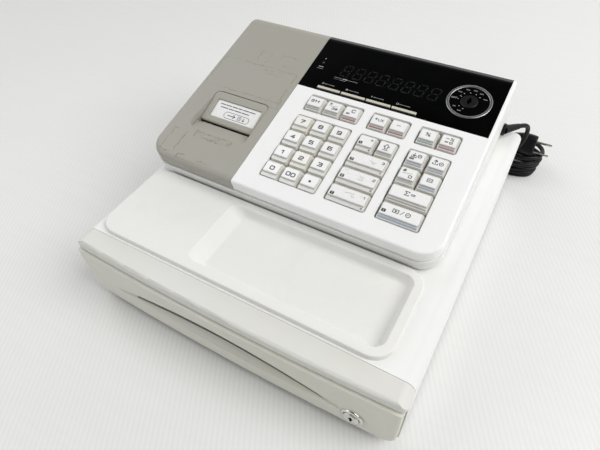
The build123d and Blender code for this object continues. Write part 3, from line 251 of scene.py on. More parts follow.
def cover_material(name):
    """Warm grey plastic with the thin brownish outlines that old stickers leave."""
    h = moulded(name, (0.366, 0.356, 0.313), 0.45, 0.11, 0.05, 0.25)
    base = h.b.inputs["Base Color"].links[0].from_socket
    x, s, n = h.slope()
    wob = h.map(h.noise(190.0, 3.0, 0.6), 0.25, 0.75, -1.1, 1.1)
    fine = h.map(h.noise(900.0, 2.0, 0.6), 0.25, 0.75, -0.35, 0.35)
    wobble = h.math("ADD", wob, fine)
    top = h.map(n, -1.2, -0.4)
    total = None
    for x0, x1, s0, s1, w, k in ((-158.5, -66.5, 102.5, 145.5, 0.62, 0.85), (-152.0, -136.0, 6.5, 35.5, 0.66, 0.85), (-126.0, -83.0, 33.6, 39.4, 0.8, 1.0),
                                 (-129.5, -86.5, 2.6, 7.6, 0.7, 0.85), (-121.5, -108.0, 152.5, 165.5, 0.55, 0.7), (-95.0, -73.0, 152.5, 167.0, 0.55, 0.7),
                                 (-104.0, -79.0, 137.0, 141.5, 0.6, 0.85), (-78.5, -63.8, 95.0, 107.5, 0.5, 0.7)):
        r = h.math("MULTIPLY", h.ring(x, s, x0, x1, s0, s1, w, wobble), k)
        total = r if total is None else h.math("MAXIMUM", total, r)
    broken = h.map(h.noise(75.0, 2.0, 0.5, 0.5), 0.40, 0.58, 0.10, 1.0)
    glue = h.math("MULTIPLY", h.math("MULTIPLY", total, broken), top)
    patch = h.math("MULTIPLY", h.rect(x, s, -126, -83, 34, 39.5, 1.6), h.map(h.noise(260.0, 4.0, 0.65), 0.50, 0.62, 0.0, 0.45))
    glue = h.math("MAXIMUM", glue, h.math("MULTIPLY", patch, top))
    col = h.mix(glue, base, (0.245, 0.222, 0.150, 1.0))
    # slightly cleaner plastic inside the large outline
    inside = h.math("MULTIPLY", h.rect(x, s, -158.5, -66.5, 102.5, 145.5, 1.0), top)
    col = h.mix(h.math("MULTIPLY", inside, 0.10), col, (0.400, 0.390, 0.350, 1.0))
    # brown spot at the left end of the slot
    spot = h.math("MULTIPLY", h.rect(x, s, -139.0, -133.5, 56.0, 60.6, 1.0), h.map(h.noise(420.0, 3.0, 0.6), 0.42, 0.58))
    col = h.mix(h.math("MULTIPLY", spot, 0.85), col, (0.10, 0.065, 0.035, 1.0))
    h.set("Base Color", col)
    return h


COVER = cover_material("printer_cover_grey_plastic")
PLATEN = moulded("platen_grey_plastic", (0.378, 0.367, 0.315), 0.47, 0.11, 0.06, 0.2)
paint(COVER, "printer_cover")
paint(PLATEN, "platen_arm")


def metal(name, rgb, rough, brushed=(1, 1, 1), amount=0.25, metallic=1.0, grain=0.10):
    h = Sh(name)
    streak = h.noise(900.0, 3.0, 0.6, co=h.scaled(brushed))
    cloud = h.noise(60.0, 3.0, 0.6)
    dark = tuple(v * 0.62 for v in rgb) + (1.0,)
    col = h.mix(h.map(streak, 0.35, 0.65, amount, 0.0), tuple(rgb) + (1.0,), dark)
    col = h.mix(h.map(cloud, 0.5, 0.75, 0.0, 0.2), col, dark)
    h.set("Base Color", col)
    h.b.inputs["Metallic"].default_value = metallic
    h.set("Roughness", h.map(streak, 0.3, 0.7, rough - 0.05, rough + 0.08))
    h.bump(streak, grain, 0.00006)
    return h


def painted(name, rgb, rough=0.42):
    """Painted sheet steel with orange peel and a few worn spots."""
    h = Sh(name)
    peel = h.noise(420.0, 2.0, 0.5)
    worn = h.math("MULTIPLY", h.map(h.noise(120.0, 5.0, 0.7), 0.68, 0.74), 0.6)
    col = h.mix(h.map(h.noise(20.0, 3.0), 0.35, 0.7, 0.0, 0.3), tuple(rgb) + (1.0,), tuple(v * 0.86 for v in rgb) + (1.0,))
    h.set("Base Color", h.mix(worn, col, (0.30, 0.29, 0.28, 1.0)))
    h.set("Roughness", h.map(peel, 0.3, 0.7, rough - 0.05, rough + 0.08))
    h.bump(peel, 0.25, 0.00015)
    return h


paint(painted("base_pan_painted_steel", (0.36, 0.36, 0.34)), "cabinet_base")
paint(painted("drawer_box_painted_steel", (0.42, 0.42, 0.40)), "drawer_box")
paint(metal("zinc_screw_steel", (0.62, 0.62, 0.60), 0.34, (1, 1, 6)), "case_screws")
paint(metal("latch_zinc_steel", (0.58, 0.58, 0.56), 0.36, (6, 1, 1)), "drawer_latch")
LOCK = metal("lock_chrome_face", (0.80, 0.79, 0.76), 0.16, (1, 1, 8), 0.30, grain=0.06)
paint(LOCK, "drawer_lock")


def rubber(name, rgb=(0.02, 0.02, 0.02), rough=0.62):
    h = Sh(name)
    g = h.noise(700.0, 3.0, 0.6)
    dust = h.noise(70.0, 4.0, 0.6)
    col = h.mix(h.map(dust, 0.5, 0.8, 0.0, 0.5), tuple(rgb) + (1.0,), (0.07, 0.068, 0.062, 1.0))
    h.set("Base Color", col)
    h.set("Roughness", h.map(g, 0.3, 0.7, rough - 0.06, rough + 0.1))
    h.bump(g, 0.2, 0.0002)
    return h


paint(rubber("foot_black_rubber"), "rubber_feet")


def panel_material():
    h = Sh("panel_black_gloss")
    haze = h.noise(26.0, 4.0, 0.6, 0.8)
    dustc = h.cells(160.0)
    pick = h.noise(47.0, 0.0)
    dust = h.math("MULTIPLY", h.map(dustc, 0.03, 0.06, 1.0, 0.0), h.map(pick, 0.52, 0.62))
    col = h.mix(h.map(haze, 0.35, 0.75, 0.0, 1.0), (0.0008, 0.0010, 0.0009, 1.0), (0.0016, 0.0019, 0.0017, 1.0))
    col = h.mix(h.math("MULTIPLY", dust, 0.25), col, (0.05, 0.05, 0.05, 1.0))
    h.set("Base Color", col)
    h.set("Roughness", h.math("ADD", h.map(haze, 0.3, 0.75, 0.07, 0.12), h.math("MULTIPLY", dust, 0.3)))
    h.b.inputs["Specular IOR Level"].default_value = 0.15
    h.bump(h.noise(35.0, 1.0), 0.03, 0.0004)
    return h


PANEL = panel_material()
paint(PANEL, "display_window")


def rotor_material():
    h = Sh("switch_rotor_dark_steel")
    x, s, n = h.slope()
    dx, ds = h.math("SUBTRACT", x, 109.9), h.math("SUBTRACT", s, 171.2)
    r = h.math("SQRT", h.math("ADD", h.math("MULTIPLY", dx, dx), h.math("MULTIPLY", ds, ds)))
    rings = h.math("SINE", h.math("MULTIPLY", r, 14.0))
    grit = h.noise(800.0, 3.0)
    col = h.mix(h.map(rings, -1.0, 1.0, 0.0, 0.5), (0.0035, 0.0038, 0.0037, 1.0), (0.0075, 0.0080, 0.0078, 1.0))
    col = h.mix(h.map(r, 2.2, 3.2, 0.7, 0.0), col, (0.004, 0.004, 0.004, 1.0))
    col = h.mix(h.map(grit, 0.6, 0.75, 0.0, 0.5), col, (0.035, 0.036, 0.035, 1.0))
    h.set("Base Color", col)
    h.b.inputs["Specular IOR Level"].default_value = 0.30
    h.set("Roughness", h.map(grit, 0.3, 0.7, 0.30, 0.42))
    h.bump(h.math("ADD", rings, grit), 0.08, 0.00008)
    return h


paint(rotor_material(), "mode_switch_rotor")


def keycap_material(name, tone=(0.0, 0.0, 0.0)):
    """Smoky clear cap: warmer down the skirt, the tone of the plastic, and lighter there, painted light that fills the
    shade between the keys; clear and light at the ledge and the top, with a painted shade band on the wall of the step
    between them.
    """
    h = Sh(name)
    x, s, n = h.slope()
    skirt_painted_light = (0.860, 0.832, 0.765, 1.0)
    mid = (0.690 + tone[0], 0.676 + tone[1], 0.630 + tone[2], 1.0)
    top = (0.830 + tone[0], 0.832 + tone[1], 0.815 + tone[2], 1.0)
    # painted light: the skirt is made lighter towards its foot so that the gaps between the keys do not fall into shade
    col = h.mix(h.map(n, -5.0, 0.2), skirt_painted_light, mid)
    col = h.mix(h.map(n, 0.25, 0.48), col, (0.740 + tone[0], 0.740 + tone[1], 0.715 + tone[2], 1.0))
    # painted shade: a darker band on the wall of the step just above the ledge, standing in for the thin shadow line
    # between ledge and top
    col = h.mix(h.map(n, 0.56, 0.9, 0.0, 0.62), col, (0.510, 0.505, 0.478, 1.0))
    col = h.mix(h.map(n, 2.3, 2.66), col, top)
    streak = h.noise(240.0, 3.0, 0.6)
    col = h.mix(h.map(streak, 0.5, 0.75, 0.0, 0.18), col, (0.62, 0.60, 0.55, 1.0))
    col = h.mix(h.map(h.noise(2200.0, 2.0), 0.42, 0.62, 0.10, 0.0), col, (0.40, 0.39, 0.36, 1.0))
    h.set("Base Color", col)
    h.set("Roughness", h.map(h.noise(150.0, 3.0, 0.6), 0.3, 0.7, 0.16, 0.27))
    h.b.inputs["Specular IOR Level"].default_value = 0.5
    h.b.inputs["Coat Weight"].default_value = 0.35
    h.b.inputs["Coat Roughness"].default_value = 0.12
    h.bump(h.noise(500.0, 2.0), 0.05, 0.0001)
    return h


KEYCAP = keycap_material("keycap_smoky_clear")
KEYCAP_CREAM = keycap_material("keycap_smoky_clear_aged", (0.012, 0.006, -0.03))


def board_material():
    h = Sh("circuit_board_green")
    x, s, n = h.slope()
    tr = h.cells(260.0, "DISTANCE_TO_EDGE")
    lines = h.map(tr, 0.03, 0.07, 1.0, 0.0)
    pads = h.map(h.cells(420.0), 0.10, 0.16, 1.0, 0.0)
    col = h.mix(h.math("MULTIPLY", lines, 0.7), (0.012, 0.085, 0.030, 1.0), (0.030, 0.17, 0.06, 1.0))
    col = h.mix(pads, col, (0.50, 0.47, 0.38, 1.0))
    h.set("Base Color", col)
    h.set("Roughness", h.map(h.noise(300.0), 0.3, 0.7, 0.28, 0.42))
    h.bump(lines, 0.3, 0.0001)
    return h


paint(board_material(), "main_board")


def transformer_material():
    h = Sh("transformer_laminated_steel")
    x, y, z = h.xyz()
    lam = h.math("SINE", h.math("MULTIPLY", y, 9000.0))
    coil = h.rect(h.math("MULTIPLY", x, 1000.0), h.math("MULTIPLY", z, 1000.0), 48.5, 77.5, 92.4, 117.6, 0.3)
    grit = h.noise(300.0, 4.0)
    steel = h.mix(h.map(lam, -1.0, 1.0), (0.05, 0.048, 0.045, 1.0), (0.16, 0.155, 0.15, 1.0))
    wind = h.mix(h.map(h.math("SINE", h.math("MULTIPLY", z, 7000.0)), -1.0, 1.0), (0.30, 0.12, 0.03, 1.0), (0.52, 0.26, 0.07, 1.0))
    ends = h.math("MULTIPLY", coil, h.math("MAXIMUM", h.map(y, 0.0875, 0.088, 1.0, 0.0), h.map(y, 0.128, 0.1285)))
    h.set("Base Color", h.mix(ends, h.mix(h.map(grit, 0.5, 0.7, 0.0, 0.4), steel, (0.10, 0.08, 0.06, 1.0)), wind))
    h.set("Roughness", h.map(grit, 0.3, 0.7, 0.35, 0.5))
    h.bump(lam, 0.3, 0.0001)
    return h


paint(transformer_material(), "power_transformer")


def vinyl(name, rough=0.34):
    h = Sh(name)
    g = h.noise(600.0, 3.0, 0.6)
    dust = h.noise(90.0, 4.0, 0.65)
    col = h.mix(h.map(dust, 0.5, 0.8, 0.0, 0.6), (0.0038, 0.0038, 0.0042, 1.0), (0.0105, 0.0102, 0.010, 1.0))
    h.set("Base Color", col)
    h.set("Roughness", h.map(g, 0.3, 0.7, rough - 0.05, rough + 0.1))
    h.b.inputs["Specular IOR Level"].default_value = 0.24
    h.bump(g, 0.10, 0.00012)
    return h


CORD_MAT = vinyl("cord_black_vinyl", 0.32)
paint(vinyl("gland_black_vinyl", 0.40), "cord_gland")


def plug_material():
    h = Sh("plug_black_vinyl_and_brass_blades")
    x, y, z = h.xyz()
    blade = h.map(x, 0.18190, 0.18212)
    g = h.noise(600.0, 3.0, 0.6)
    scratch = h.noise(900.0, 3.0, 0.6, co=h.scaled((0.15, 1, 1)))
    brass = h.mix(h.map(scratch, 0.35, 0.65), (0.50, 0.45, 0.36, 1.0), (0.72, 0.67, 0.57, 1.0))
    black = h.mix(h.map(h.noise(90.0, 4.0), 0.5, 0.8, 0.0, 0.6), (0.0040, 0.0040, 0.0045, 1.0), (0.011, 0.0107, 0.0105, 1.0))
    h.set("Base Color", h.mix(blade, black, brass))
    h.set("Metallic", blade)
    h.set("Roughness", h.map(g, 0.3, 0.7, 0.26, 0.42))
    h.b.inputs["Specular IOR Level"].default_value = 0.26
    h.bump(g, 0.10, 0.00012)
    return h


paint(plug_material(), "power_plug")

# ------------------------------------------------------------------ mesh building


class Mesh:
    """Collects faces in the row frame, each with a material slot, and makes one object of them."""

    def __init__(self, name, mats):
        self.name, self.mats = name, mats
        self.v, self.f, self.mi, self.sm = [], [], [], []

    def face(self, pts, mi, smooth=False):
        k = len(self.v)
        self.v += [tuple(p) for p in pts]
        self.f.append(list(range(k, k + len(pts))))
        self.mi.append(mi)
        self.sm.append(smooth)

    def grid(self, rows, mi, closed=True, smooth=True):
        """Quads between successive rings of points."""
        k = len(self.v)
        m = len(rows[0])
        for r in rows:
            self.v += [tuple(p) for p in r]
        for i in range(len(rows) - 1):
            for j in range(m if closed else m - 1):
                a, b = k + i * m + j, k + i * m + (j + 1) % m
                self.f.append([a, b, b + m, a + m])
                self.mi.append(mi)
                self.sm.append(smooth)

    def done(self, body, slot=None):
        me = bpy.data.meshes.new(self.name)
        me.from_pydata(self.v, [], self.f)
        for mt in self.mats:
            me.materials.append(mt)
        for p, mi, sm in zip(me.polygons, self.mi, self.sm):
            p.material_index = mi
            p.use_smooth = sm
        bm = bmesh.new()
        bm.from_mesh(me)
        bmesh.ops.remove_doubles(bm, verts=bm.verts, dist=1e-6)
        bm.to_mesh(me)
        bm.free()
        me.validate()
        ob = bpy.data.objects.new(self.name, me)
        scene.collection.objects.link(ob)
        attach(ob, body)
        return ob


def rrect(w, h, r, k=5):
    """Outline of a rounded rectangle about the origin, anticlockwise."""
    out = []
    for cx, cy, a0 in ((w / 2 - r, h / 2 - r, 0), (-w / 2 + r, h / 2 - r, 90), (-w / 2 + r, -h / 2 + r, 180), (w / 2 - r, -h / 2 + r, 270)):
        for i in range(k + 1):
            a = math.radians(a0 + 90 * i / k)
            out.append((cx + r * math.cos(a), cy + r * math.sin(a)))
    return out


def slab(mesh, outline, place, n0, n1, mi, edge=0.08):
    """A thin plate with a softened upper edge. place(u, v, n) gives its points."""
    def inset(d):
        m = len(outline)
        res = []
        for i in range(m):
            ax, ay = outline[i - 1]
            bx, by = outline[i]
            cx, cy = outline[(i + 1) % m]
            e1, e2 = Vector((bx - ax, by - ay)), Vector((cx - bx, cy - by))
            if e1.length < 1e-9:
                e1 = e2
            if e2.length < 1e-9:
                e2 = e1
            n_ = Vector((-e1.y, e1.x)).normalized() + Vector((-e2.y, e2.x)).normalized()
            n_ = n_.normalized() if n_.length > 1e-9 else Vector((0, 0))
            res.append((bx + n_.x * d, by + n_.y * d))
        return res
    rows = [[place(u, v, n0) for u, v in outline], [place(u, v, n1 - edge * 0.6) for u, v in outline],
            [place(u, v, n1) for u, v in inset(edge)]]
    mesh.grid(rows, mi, smooth=False)
    mesh.face(rows[-1], mi)


def ribbon(mesh, pts, width, place, n, mi, closed=False):
    """A flat printed line of constant width along 2-D points."""
    P = [Vector(p) for p in pts]
    m = len(P)
    left, right = [], []
    for i in range(m):
        if closed:
            a, b, c = P[i - 1], P[i], P[(i + 1) % m]
        else:
            a, b, c = P[max(i - 1, 0)], P[i], P[min(i + 1, m - 1)]
        d1, d2 = (b - a), (c - b)
        if d1.length < 1e-9:
            d1 = d2
        if d2.length < 1e-9:
            d2 = d1
        d1, d2 = d1.normalized(), d2.normalized()
        n1, n2 = Vector((-d1.y, d1.x)), Vector((-d2.y, d2.x))
        mid = (n1 + n2)
        mid = mid.normalized() if mid.length > 1e-6 else n1
        k = width / 2 / max(0.45, mid.dot(n1))
        e = Vector((0, 0))
        if not closed and i == 0:
            e = -d2 * width * 0.35
        if not closed and i == m - 1:
            e = d1 * width * 0.35
        left.append(place(b.x + mid.x * k + e.x, b.y + mid.y * k + e.y, n))
        right.append(place(b.x - mid.x * k + e.x, b.y - mid.y * k + e.y, n))
    for i in range(m if closed else m - 1):
        j = (i + 1) % m
        mesh.face([left[i], right[i], right[j], left[j]], mi)


GLYPH = {
    "0": [[(.16, 0), (.84, 0), (1, .16), (1, .84), (.84, 1), (.16, 1), (0, .84), (0, .16), (.16, 0)]],
    "1": [[(.15, .8), (.6, 1), (.6, 0)]],
    "2": [[(0, .84), (.14, 1), (.86, 1), (1, .86), (1, .62), (.86, .5), (.14, .44), (0, .3), (0, 0), (1, 0)]],
    "3": [[(0, 1), (.86, 1), (1, .86), (1, .62), (.86, .51), (.3, .51)], [(.86, .51), (1, .4), (1, .14), (.86, 0), (0, 0)]],
    "4": [[(.72, 0), (.72, 1), (0, .3), (1, .3)]],
    "5": [[(1, 1), (0, 1), (0, .56), (.86, .56), (1, .42), (1, .14), (.86, 0), (0, 0)]],
    "6": [[(1, 1), (.14, 1), (0, .86), (0, .14), (.14, 0), (.86, 0), (1, .14), (1, .42), (.86, .56), (0, .56)]],
    "7": [[(0, 1), (1, 1), (1, .8), (.42, .34), (.42, 0)]],
    "8": [[(.14, 0), (.86, 0), (1, .14), (1, .4), (.86, .52), (.14, .52), (0, .4), (0, .14), (.14, 0)],
          [(.14, .52), (0, .64), (0, .86), (.14, 1), (.86, 1), (1, .86), (1, .64), (.86, .52)]],
    "9": [[(0, 0), (.86, 0), (1, .14), (1, .86), (.86, 1), (.14, 1), (0, .86), (0, .58), (.14, .44), (1, .44)]],
    ".": [[(.36, .36), (.64, .36), (.64, .64), (.36, .64), (.36, .36)], [(.42, .5), (.58, .5)]],
    "C": [[(1, .84), (.84, 1), (.16, 1), (0, .84), (0, .16), (.16, 0), (.84, 0), (1, .16)]],
    "O": [[(.16, 0), (.84, 0), (1, .16), (1, .84), (.84, 1), (.16, 1), (0, .84), (0, .16), (.16, 0)]],
    "F": [[(0, 0), (0, 1), (1, 1)], [(0, .52), (.8, .52)]],
    "%": [[(0, 0), (1, 1)], [(.0, .72), (.0, 1), (.30, 1), (.30, .72), (.0, .72)], [(.70, 0), (.70, .28), (1, .28), (1, 0), (.70, 0)]],
    "x": [[(0, 0), (1, 1)], [(0, 1), (1, 0)]],
    "-": [[(0, .5), (1, .5)]],
    "+": [[(0, .5), (1, .5)], [(.5, 0), (.5, 1)]],
    "=": [[(0, .3), (1, .3)], [(0, .7), (1, .7)]],
    "#": [[(.25, 0), (.38, 1)], [(.62, 0), (.75, 1)], [(0, .3), (1, .3)], [(0, .7), (1, .7)]],
    "/": [[(0, 0), (1, 1)]],
    "up": [[(.5, 0), (.5, 1)], [(.1, .55), (.5, 1), (.9, .55)]],
    "down": [[(.5, 0), (.5, 1)], [(.1, .45), (.5, 0), (.9, .45)]],
    "back": [[(1, 0), (1, .45), (.8, .62), (.05, .62)], [(.38, .98), (.02, .62), (.38, .26)]],
    "shift": [[(.28, 0), (.72, 0), (.72, .45), (1, .45), (.5, 1), (0, .45), (.28, .45), (.28, 0)]],
    "sum": [[(1, .82), (1, 1), (0, 1), (.5, .5), (0, 0), (1, 0), (1, .18)]],
    "note": [[(0, .1), (1, .1), (1, .9), (0, .9), (0, .1)], [(.36, .5), (.5, .66), (.64, .5), (.5, .34), (.36, .5)]],
    "slip": [[(0, 0), (0, 1), (1, 1), (1, 0), (.75, .14), (.5, 0), (.25, .14), (0, 0)], [(.25, .75), (.75, .75)], [(.25, .48), (.75, .48)]],
    "clock": [[(.3, 0), (.7, 0), (1, .3), (1, .7), (.7, 1), (.3, 1), (0, .7), (0, .3), (.3, 0)], [(.5, .8), (.5, .48), (.75, .48)]],
    "tray": [[(0, .55), (0, 0), (1, 0), (1, .55)]],
    "ticket": [[(0, 0), (1, 0), (1, .36), (.86, .5), (1, .64), (1, 1), (0, 1), (0, .64), (.14, .5), (0, .36), (0, 0)], [(.36, .28), (.36, .72)], [(.55, .5), (.75, .5)]],
    "coin": [[(.3, 0), (.7, 0), (1, .3), (1, .7), (.7, 1), (.3, 1), (0, .7), (0, .3), (.3, 0)], [(.35, .5), (.65, .5)]],
    "tri": [[(.1, 0), (.9, .5), (.1, 1), (.1, 0)]],
    "box": [[(0, 0), (1, 0), (1, 1), (0, 1), (0, 0)]],
}


def glyph(mesh, key, cx, cy, w, h, line, place, n, mi, slant=0.0):
    for line_pts in GLYPH[key]:
        pts = [(cx + (u - 0.5) * w + (v - 0.5) * h * slant, cy + (v - 0.5) * h) for u, v in line_pts]
        closed = line_pts[0] == line_pts[-1] and len(line_pts) > 3
        ribbon(mesh, pts[:-1] if closed else pts, line, place, n, mi, closed)


def ink(name, rgb, rough=0.5, spec=0.4):
    """Screen-printed ink: slightly patchy cover."""
    h = Sh(name)
    patch = h.noise(900.0, 3.0, 0.6)
    lighter = tuple(v + (0.5 - v) * 0.10 for v in rgb) + (1.0,)
    h.set("Base Color", h.mix(h.map(patch, 0.45, 0.75), tuple(rgb) + (1.0,), lighter))
    h.set("Roughness", h.map(patch, 0.3, 0.7, rough - 0.04, rough + 0.08))
    h.b.inputs["Specular IOR Level"].default_value = spec
    h.bump(patch, 0.1, 0.00004)
    return h.m


def insert_material(name, rgb, wear=0.0):
    """White card under the clear cap, with paper fibre and, on worn keys, grey rubbing marks."""
    h = Sh(name)
    fibre = h.noise(1400.0, 4.0, 0.65)
    shade = h.noise(120.0, 3.0, 0.6)
    base = tuple(rgb) + (1.0,)
    col = h.mix(h.map(fibre, 0.4, 0.65, 0.16, 0.0), base, tuple(v * 0.88 for v in rgb) + (1.0,))
    col = h.mix(h.map(shade, 0.45, 0.7, 0.0, 0.25), col, (rgb[0] * 0.97, rgb[1] * 0.955, rgb[2] * 0.92, 1.0))
    if wear:
        m = h.noise(210.0, 3.0, 0.55, 1.6, co=h.scaled((0.55, 1.5, 1.0)))
        col = h.mix(h.map(m, 0.56, 0.66, 0.0, wear), col, (rgb[0] * 0.80, rgb[1] * 0.79, rgb[2] * 0.76, 1.0))
    h.set("Base Color", col)
    h.set("Roughness", h.map(shade, 0.3, 0.7, 0.20, 0.30))
    h.b.inputs["Coat Weight"].default_value = 0.4
    h.b.inputs["Coat Roughness"].default_value = 0.08
    h.bump(fibre, 0.03, 0.00005)
    return h.m


INSERT = insert_material("key_insert_white_card", (0.895, 0.90, 0.89))
INSERT_CREAM = insert_material("key_insert_aged_card", (0.875, 0.87, 0.83))
INSERT_WORN = insert_material("key_insert_worn_card", (0.885, 0.888, 0.875), 0.55)
INK = ink("legend_dark_ink", (0.020, 0.020, 0.024), 0.3)
TAG = ink("legend_black_tag", (0.012, 0.012, 0.013), 0.3)
TAG_TEXT = ink("legend_tag_white", (0.75, 0.75, 0.74), 0.3)
RED = ink("stripe_dark_red", (0.30, 0.135, 0.15), 0.3)
MAGENTA = ink("stripe_magenta_red", (0.36, 0.16, 0.20), 0.3)
GREEN = ink("stripe_green", (0.24, 0.32, 0.28), 0.3)
BLUE = ink("stripe_blue", (0.30, 0.35, 0.42), 0.3)
GREY = ink("stripe_grey", (0.42, 0.415, 0.40), 0.3)
DGREY = ink("stripe_dark_grey", (0.33, 0.326, 0.315), 0.3)

PALE = {k: ink("stripe_pale_" + n_, rgb, 0.3) for k, n_, rgb in (("r", "pink", (0.52, 0.43, 0.42)), ("m", "rose", (0.52, 0.41, 0.42)), ("n", "green", (0.46, 0.50, 0.47)),
                                                                ("b", "blue", (0.50, 0.53, 0.56)), ("B", "sky", (0.48, 0.53, 0.58)), ("g", "grey", (0.44, 0.44, 0.42)))}
PALE_MAT = dict(PALE, l=PALE["g"], d=PALE["g"])
RUB = ink("rubbing_marks_pale_grey", (0.60, 0.60, 0.585), 0.3)
WEAR = {"key_dept_3": [[(3.4, 0.6), (6.2, -0.6), (8.8, -0.2)], [(5.6, -1.6), (7.6, -1.9)]],
        "key_dept_2": [[(1.8, 1.0), (5.2, 1.2)], [(1.2, -1.7), (3.6, -2.4), (5.6, -2.3)], [(3.6, -0.4), (5.8, -0.7)]],
        "key_dept_1": [[(-3.4, 1.2), (0.8, 2.1), (4.8, 1.8)], [(3.4, 0.2), (5.2, -1.6)], [(5.4, 0.0), (6.2, -1.2)]]}

PS = 20.3
KX = {}
for r, row in enumerate((("7", "8", "9"), ("4", "5", "6"), ("1", "2", "3"), ("0", "00", "point"))):
    for c_, k in enumerate(row):
        KX["key_" + k] = (-28.4 + 20.07 * c_, 88.25 - PS * r, 1)
for c_, k in enumerate(("feed", "multiply", "clear")):
    KX["key_" + k] = (-28.4 + 20.07 * c_, 115.95, 1)
for c_, k in enumerate(("void", "minus")):
    KX["key_" + k] = (40.95 + 19.9 * c_, 115.95, 1)
for c_, k in enumerate(("percent", "discount")):
    KX["key_" + k] = (89.85 + 20.1 * c_, 115.95, 1)
KX.update(key_dept_4=(40.15, 88.25, 1), key_dept_shift=(60.45, 88.25, 1), key_dept_3=(50.325, 67.95, 2), key_dept_2=(50.325, 47.65, 2),
          key_dept_1=(50.325, 27.35, 2), key_received=(89.5, 88.25, 1), key_paid_out=(109.8, 88.25, 1), key_price_code=(89.5, 67.95, 1),
          key_voucher=(109.8, 67.95, 1), key_subtotal=(99.65, 47.65, 2), key_tender=(99.65, 27.35, 2))
# legend of each key: (glyph, x, s, width, height, line) about the middle of its top, then the ledge stripes
D = 0.62
LEG = {f"key_{d}": [(d, 0.5, -0.6, 4.0, 3.7, 0.82)] for d in "0123456789"}
LEG["key_00"] = [("0", -2.2, -0.6, 3.7, 3.7, 0.80), ("0", 2.9, -0.6, 3.7, 3.7, 0.80)]
LEG["key_point"] = [(".", 0.6, -0.7, 2.8, 2.8, 1.15)]
LEG["key_feed"] = [("slip", -3.1, 0.4, 2.6, 3.2, 0.42), ("up", 0.2, 0.4, 2.4, 3.2, 0.45), ("up", 3.3, 0.4, 2.4, 3.2, 0.45)]
LEG["key_multiply"] = [("x", -3.6, 2.8, 2.4, 2.4, 0.5), ("/", -0.2, 0.4, 9.0, 1.6, 0.22), ("clock", 1.0, -2.4, 2.8, 2.8, 0.4), ("#", 4.3, -2.4, 2.6, 2.8, 0.4)]
LEG["key_clear"] = [("C", 1.8, 1.4, 3.4, 3.4, 0.62)]
LEG["key_void"] = [("back", -2.1, 0.4, 4.0, 3.6, 0.5), ("x", 2.9, 0.4, 3.0, 3.0, 0.5)]
LEG["key_minus"] = [("-", 0.0, 0.3, 3.6, 3.0, 0.5)]
LEG["key_percent"] = [("%", 0.0, 0.3, 3.6, 3.4, 0.55)]
LEG["key_discount"] = [("-", -2.2, 2.1, 2.6, 2.6, 0.5), ("%", 2.1, 2.1, 2.8, 2.8, 0.45), ("=", -2.2, -2.0, 2.6, 2.4, 0.5), ("coin", 2.1, -2.0, 2.8, 2.8, 0.45)]
LEG["key_dept_4"] = [("4", 5.0, 2.4, 1.9, 2.1, 0.40)]
LEG["key_dept_shift"] = [("shift", 0.0, 0.6, 5.4, 5.4, 0.55), ("-", 0.0, -3.6, 5.2, 1.0, 0.5)]
LEG["key_dept_3"] = [("3", 15.2, 1.8, 2.0, 2.2, 0.42)]
LEG["key_dept_2"] = [("2", 15.2, 1.8, 2.0, 2.2, 0.42)]
LEG["key_dept_1"] = [("1", 15.2, 1.8, 2.0, 2.2, 0.42)]
LEG["key_received"] = [("down", -2.2, 1.5, 3.4, 3.8, 0.55), ("tray", -2.2, 0.2, 4.4, 3.0, 0.5), ("coin", 3.0, 1.2, 3.2, 3.2, 0.5)]
LEG["key_paid_out"] = [("up", -2.4, 1.2, 3.4, 3.8, 0.55), ("tray", -2.4, -0.6, 4.6, 2.6, 0.5), ("coin", 2.9, 0.0, 3.4, 3.4, 0.5)]
LEG["key_price_code"] = [("#", -3.6, 2.9, 2.8, 2.8, 0.45), ("/", -0.2, 0.3, 9.4, 1.4, 0.24), ("box", 3.2, -2.6, 2.6, 2.6, 0.5)]
LEG["key_voucher"] = [("ticket", 0.0, 0.4, 4.6, 3.4, 0.45)]
LEG["key_subtotal"] = [("sum", -2.6, 0.6, 3.8, 4.0, 0.55), ("=", 3.0, 0.6, 3.6, 3.2, 0.55)]
LEG["key_tender"] = [("note", -4.4, 0.6, 5.0, 4.0, 0.5), ("/", 1.4, 0.6, 2.6, 3.6, 0.45), ("coin", 6.6, 0.6, 3.8, 3.8, 0.5)]
TAGS = {"key_clear": (-3.0, -2.7, 3.8, 1.9, None), "key_dept_4": (-4.4, -3.2, 3.6, 3.0, "4"), "key_dept_3": (-13.9, -3.4, 3.8, 3.1, "3"), "key_dept_2": (-13.9, -3.4, 3.8, 3.1, "2"),
        "key_dept_1": (-13.9, -3.4, 3.8, 3.1, "1"), "key_received": (-3.4, -3.1, 4.4, 1.9, None), "key_tender": (-14.4, -2.2, 3.8, 3.1, "+")}
STRIPE = {"key_feed": "g", "key_multiply": "g", "key_clear": "r", "key_void": "r", "key_minus": "r", "key_percent": "n", "key_discount": "m", "key_dept_shift": "l",
          "key_received": "b", "key_paid_out": "b", "key_price_code": "l", "key_voucher": "b", "key_subtotal": "d", "key_tender": "B"}
LEDGE_NO = {"key_dept_4": "8", "key_dept_3": "7", "key_dept_2": "6", "key_dept_1": "5"}
STRIPE_MAT = {"r": RED, "m": MAGENTA, "n": GREEN, "b": BLUE, "B": BLUE, "g": DGREY, "l": GREY, "d": DGREY}

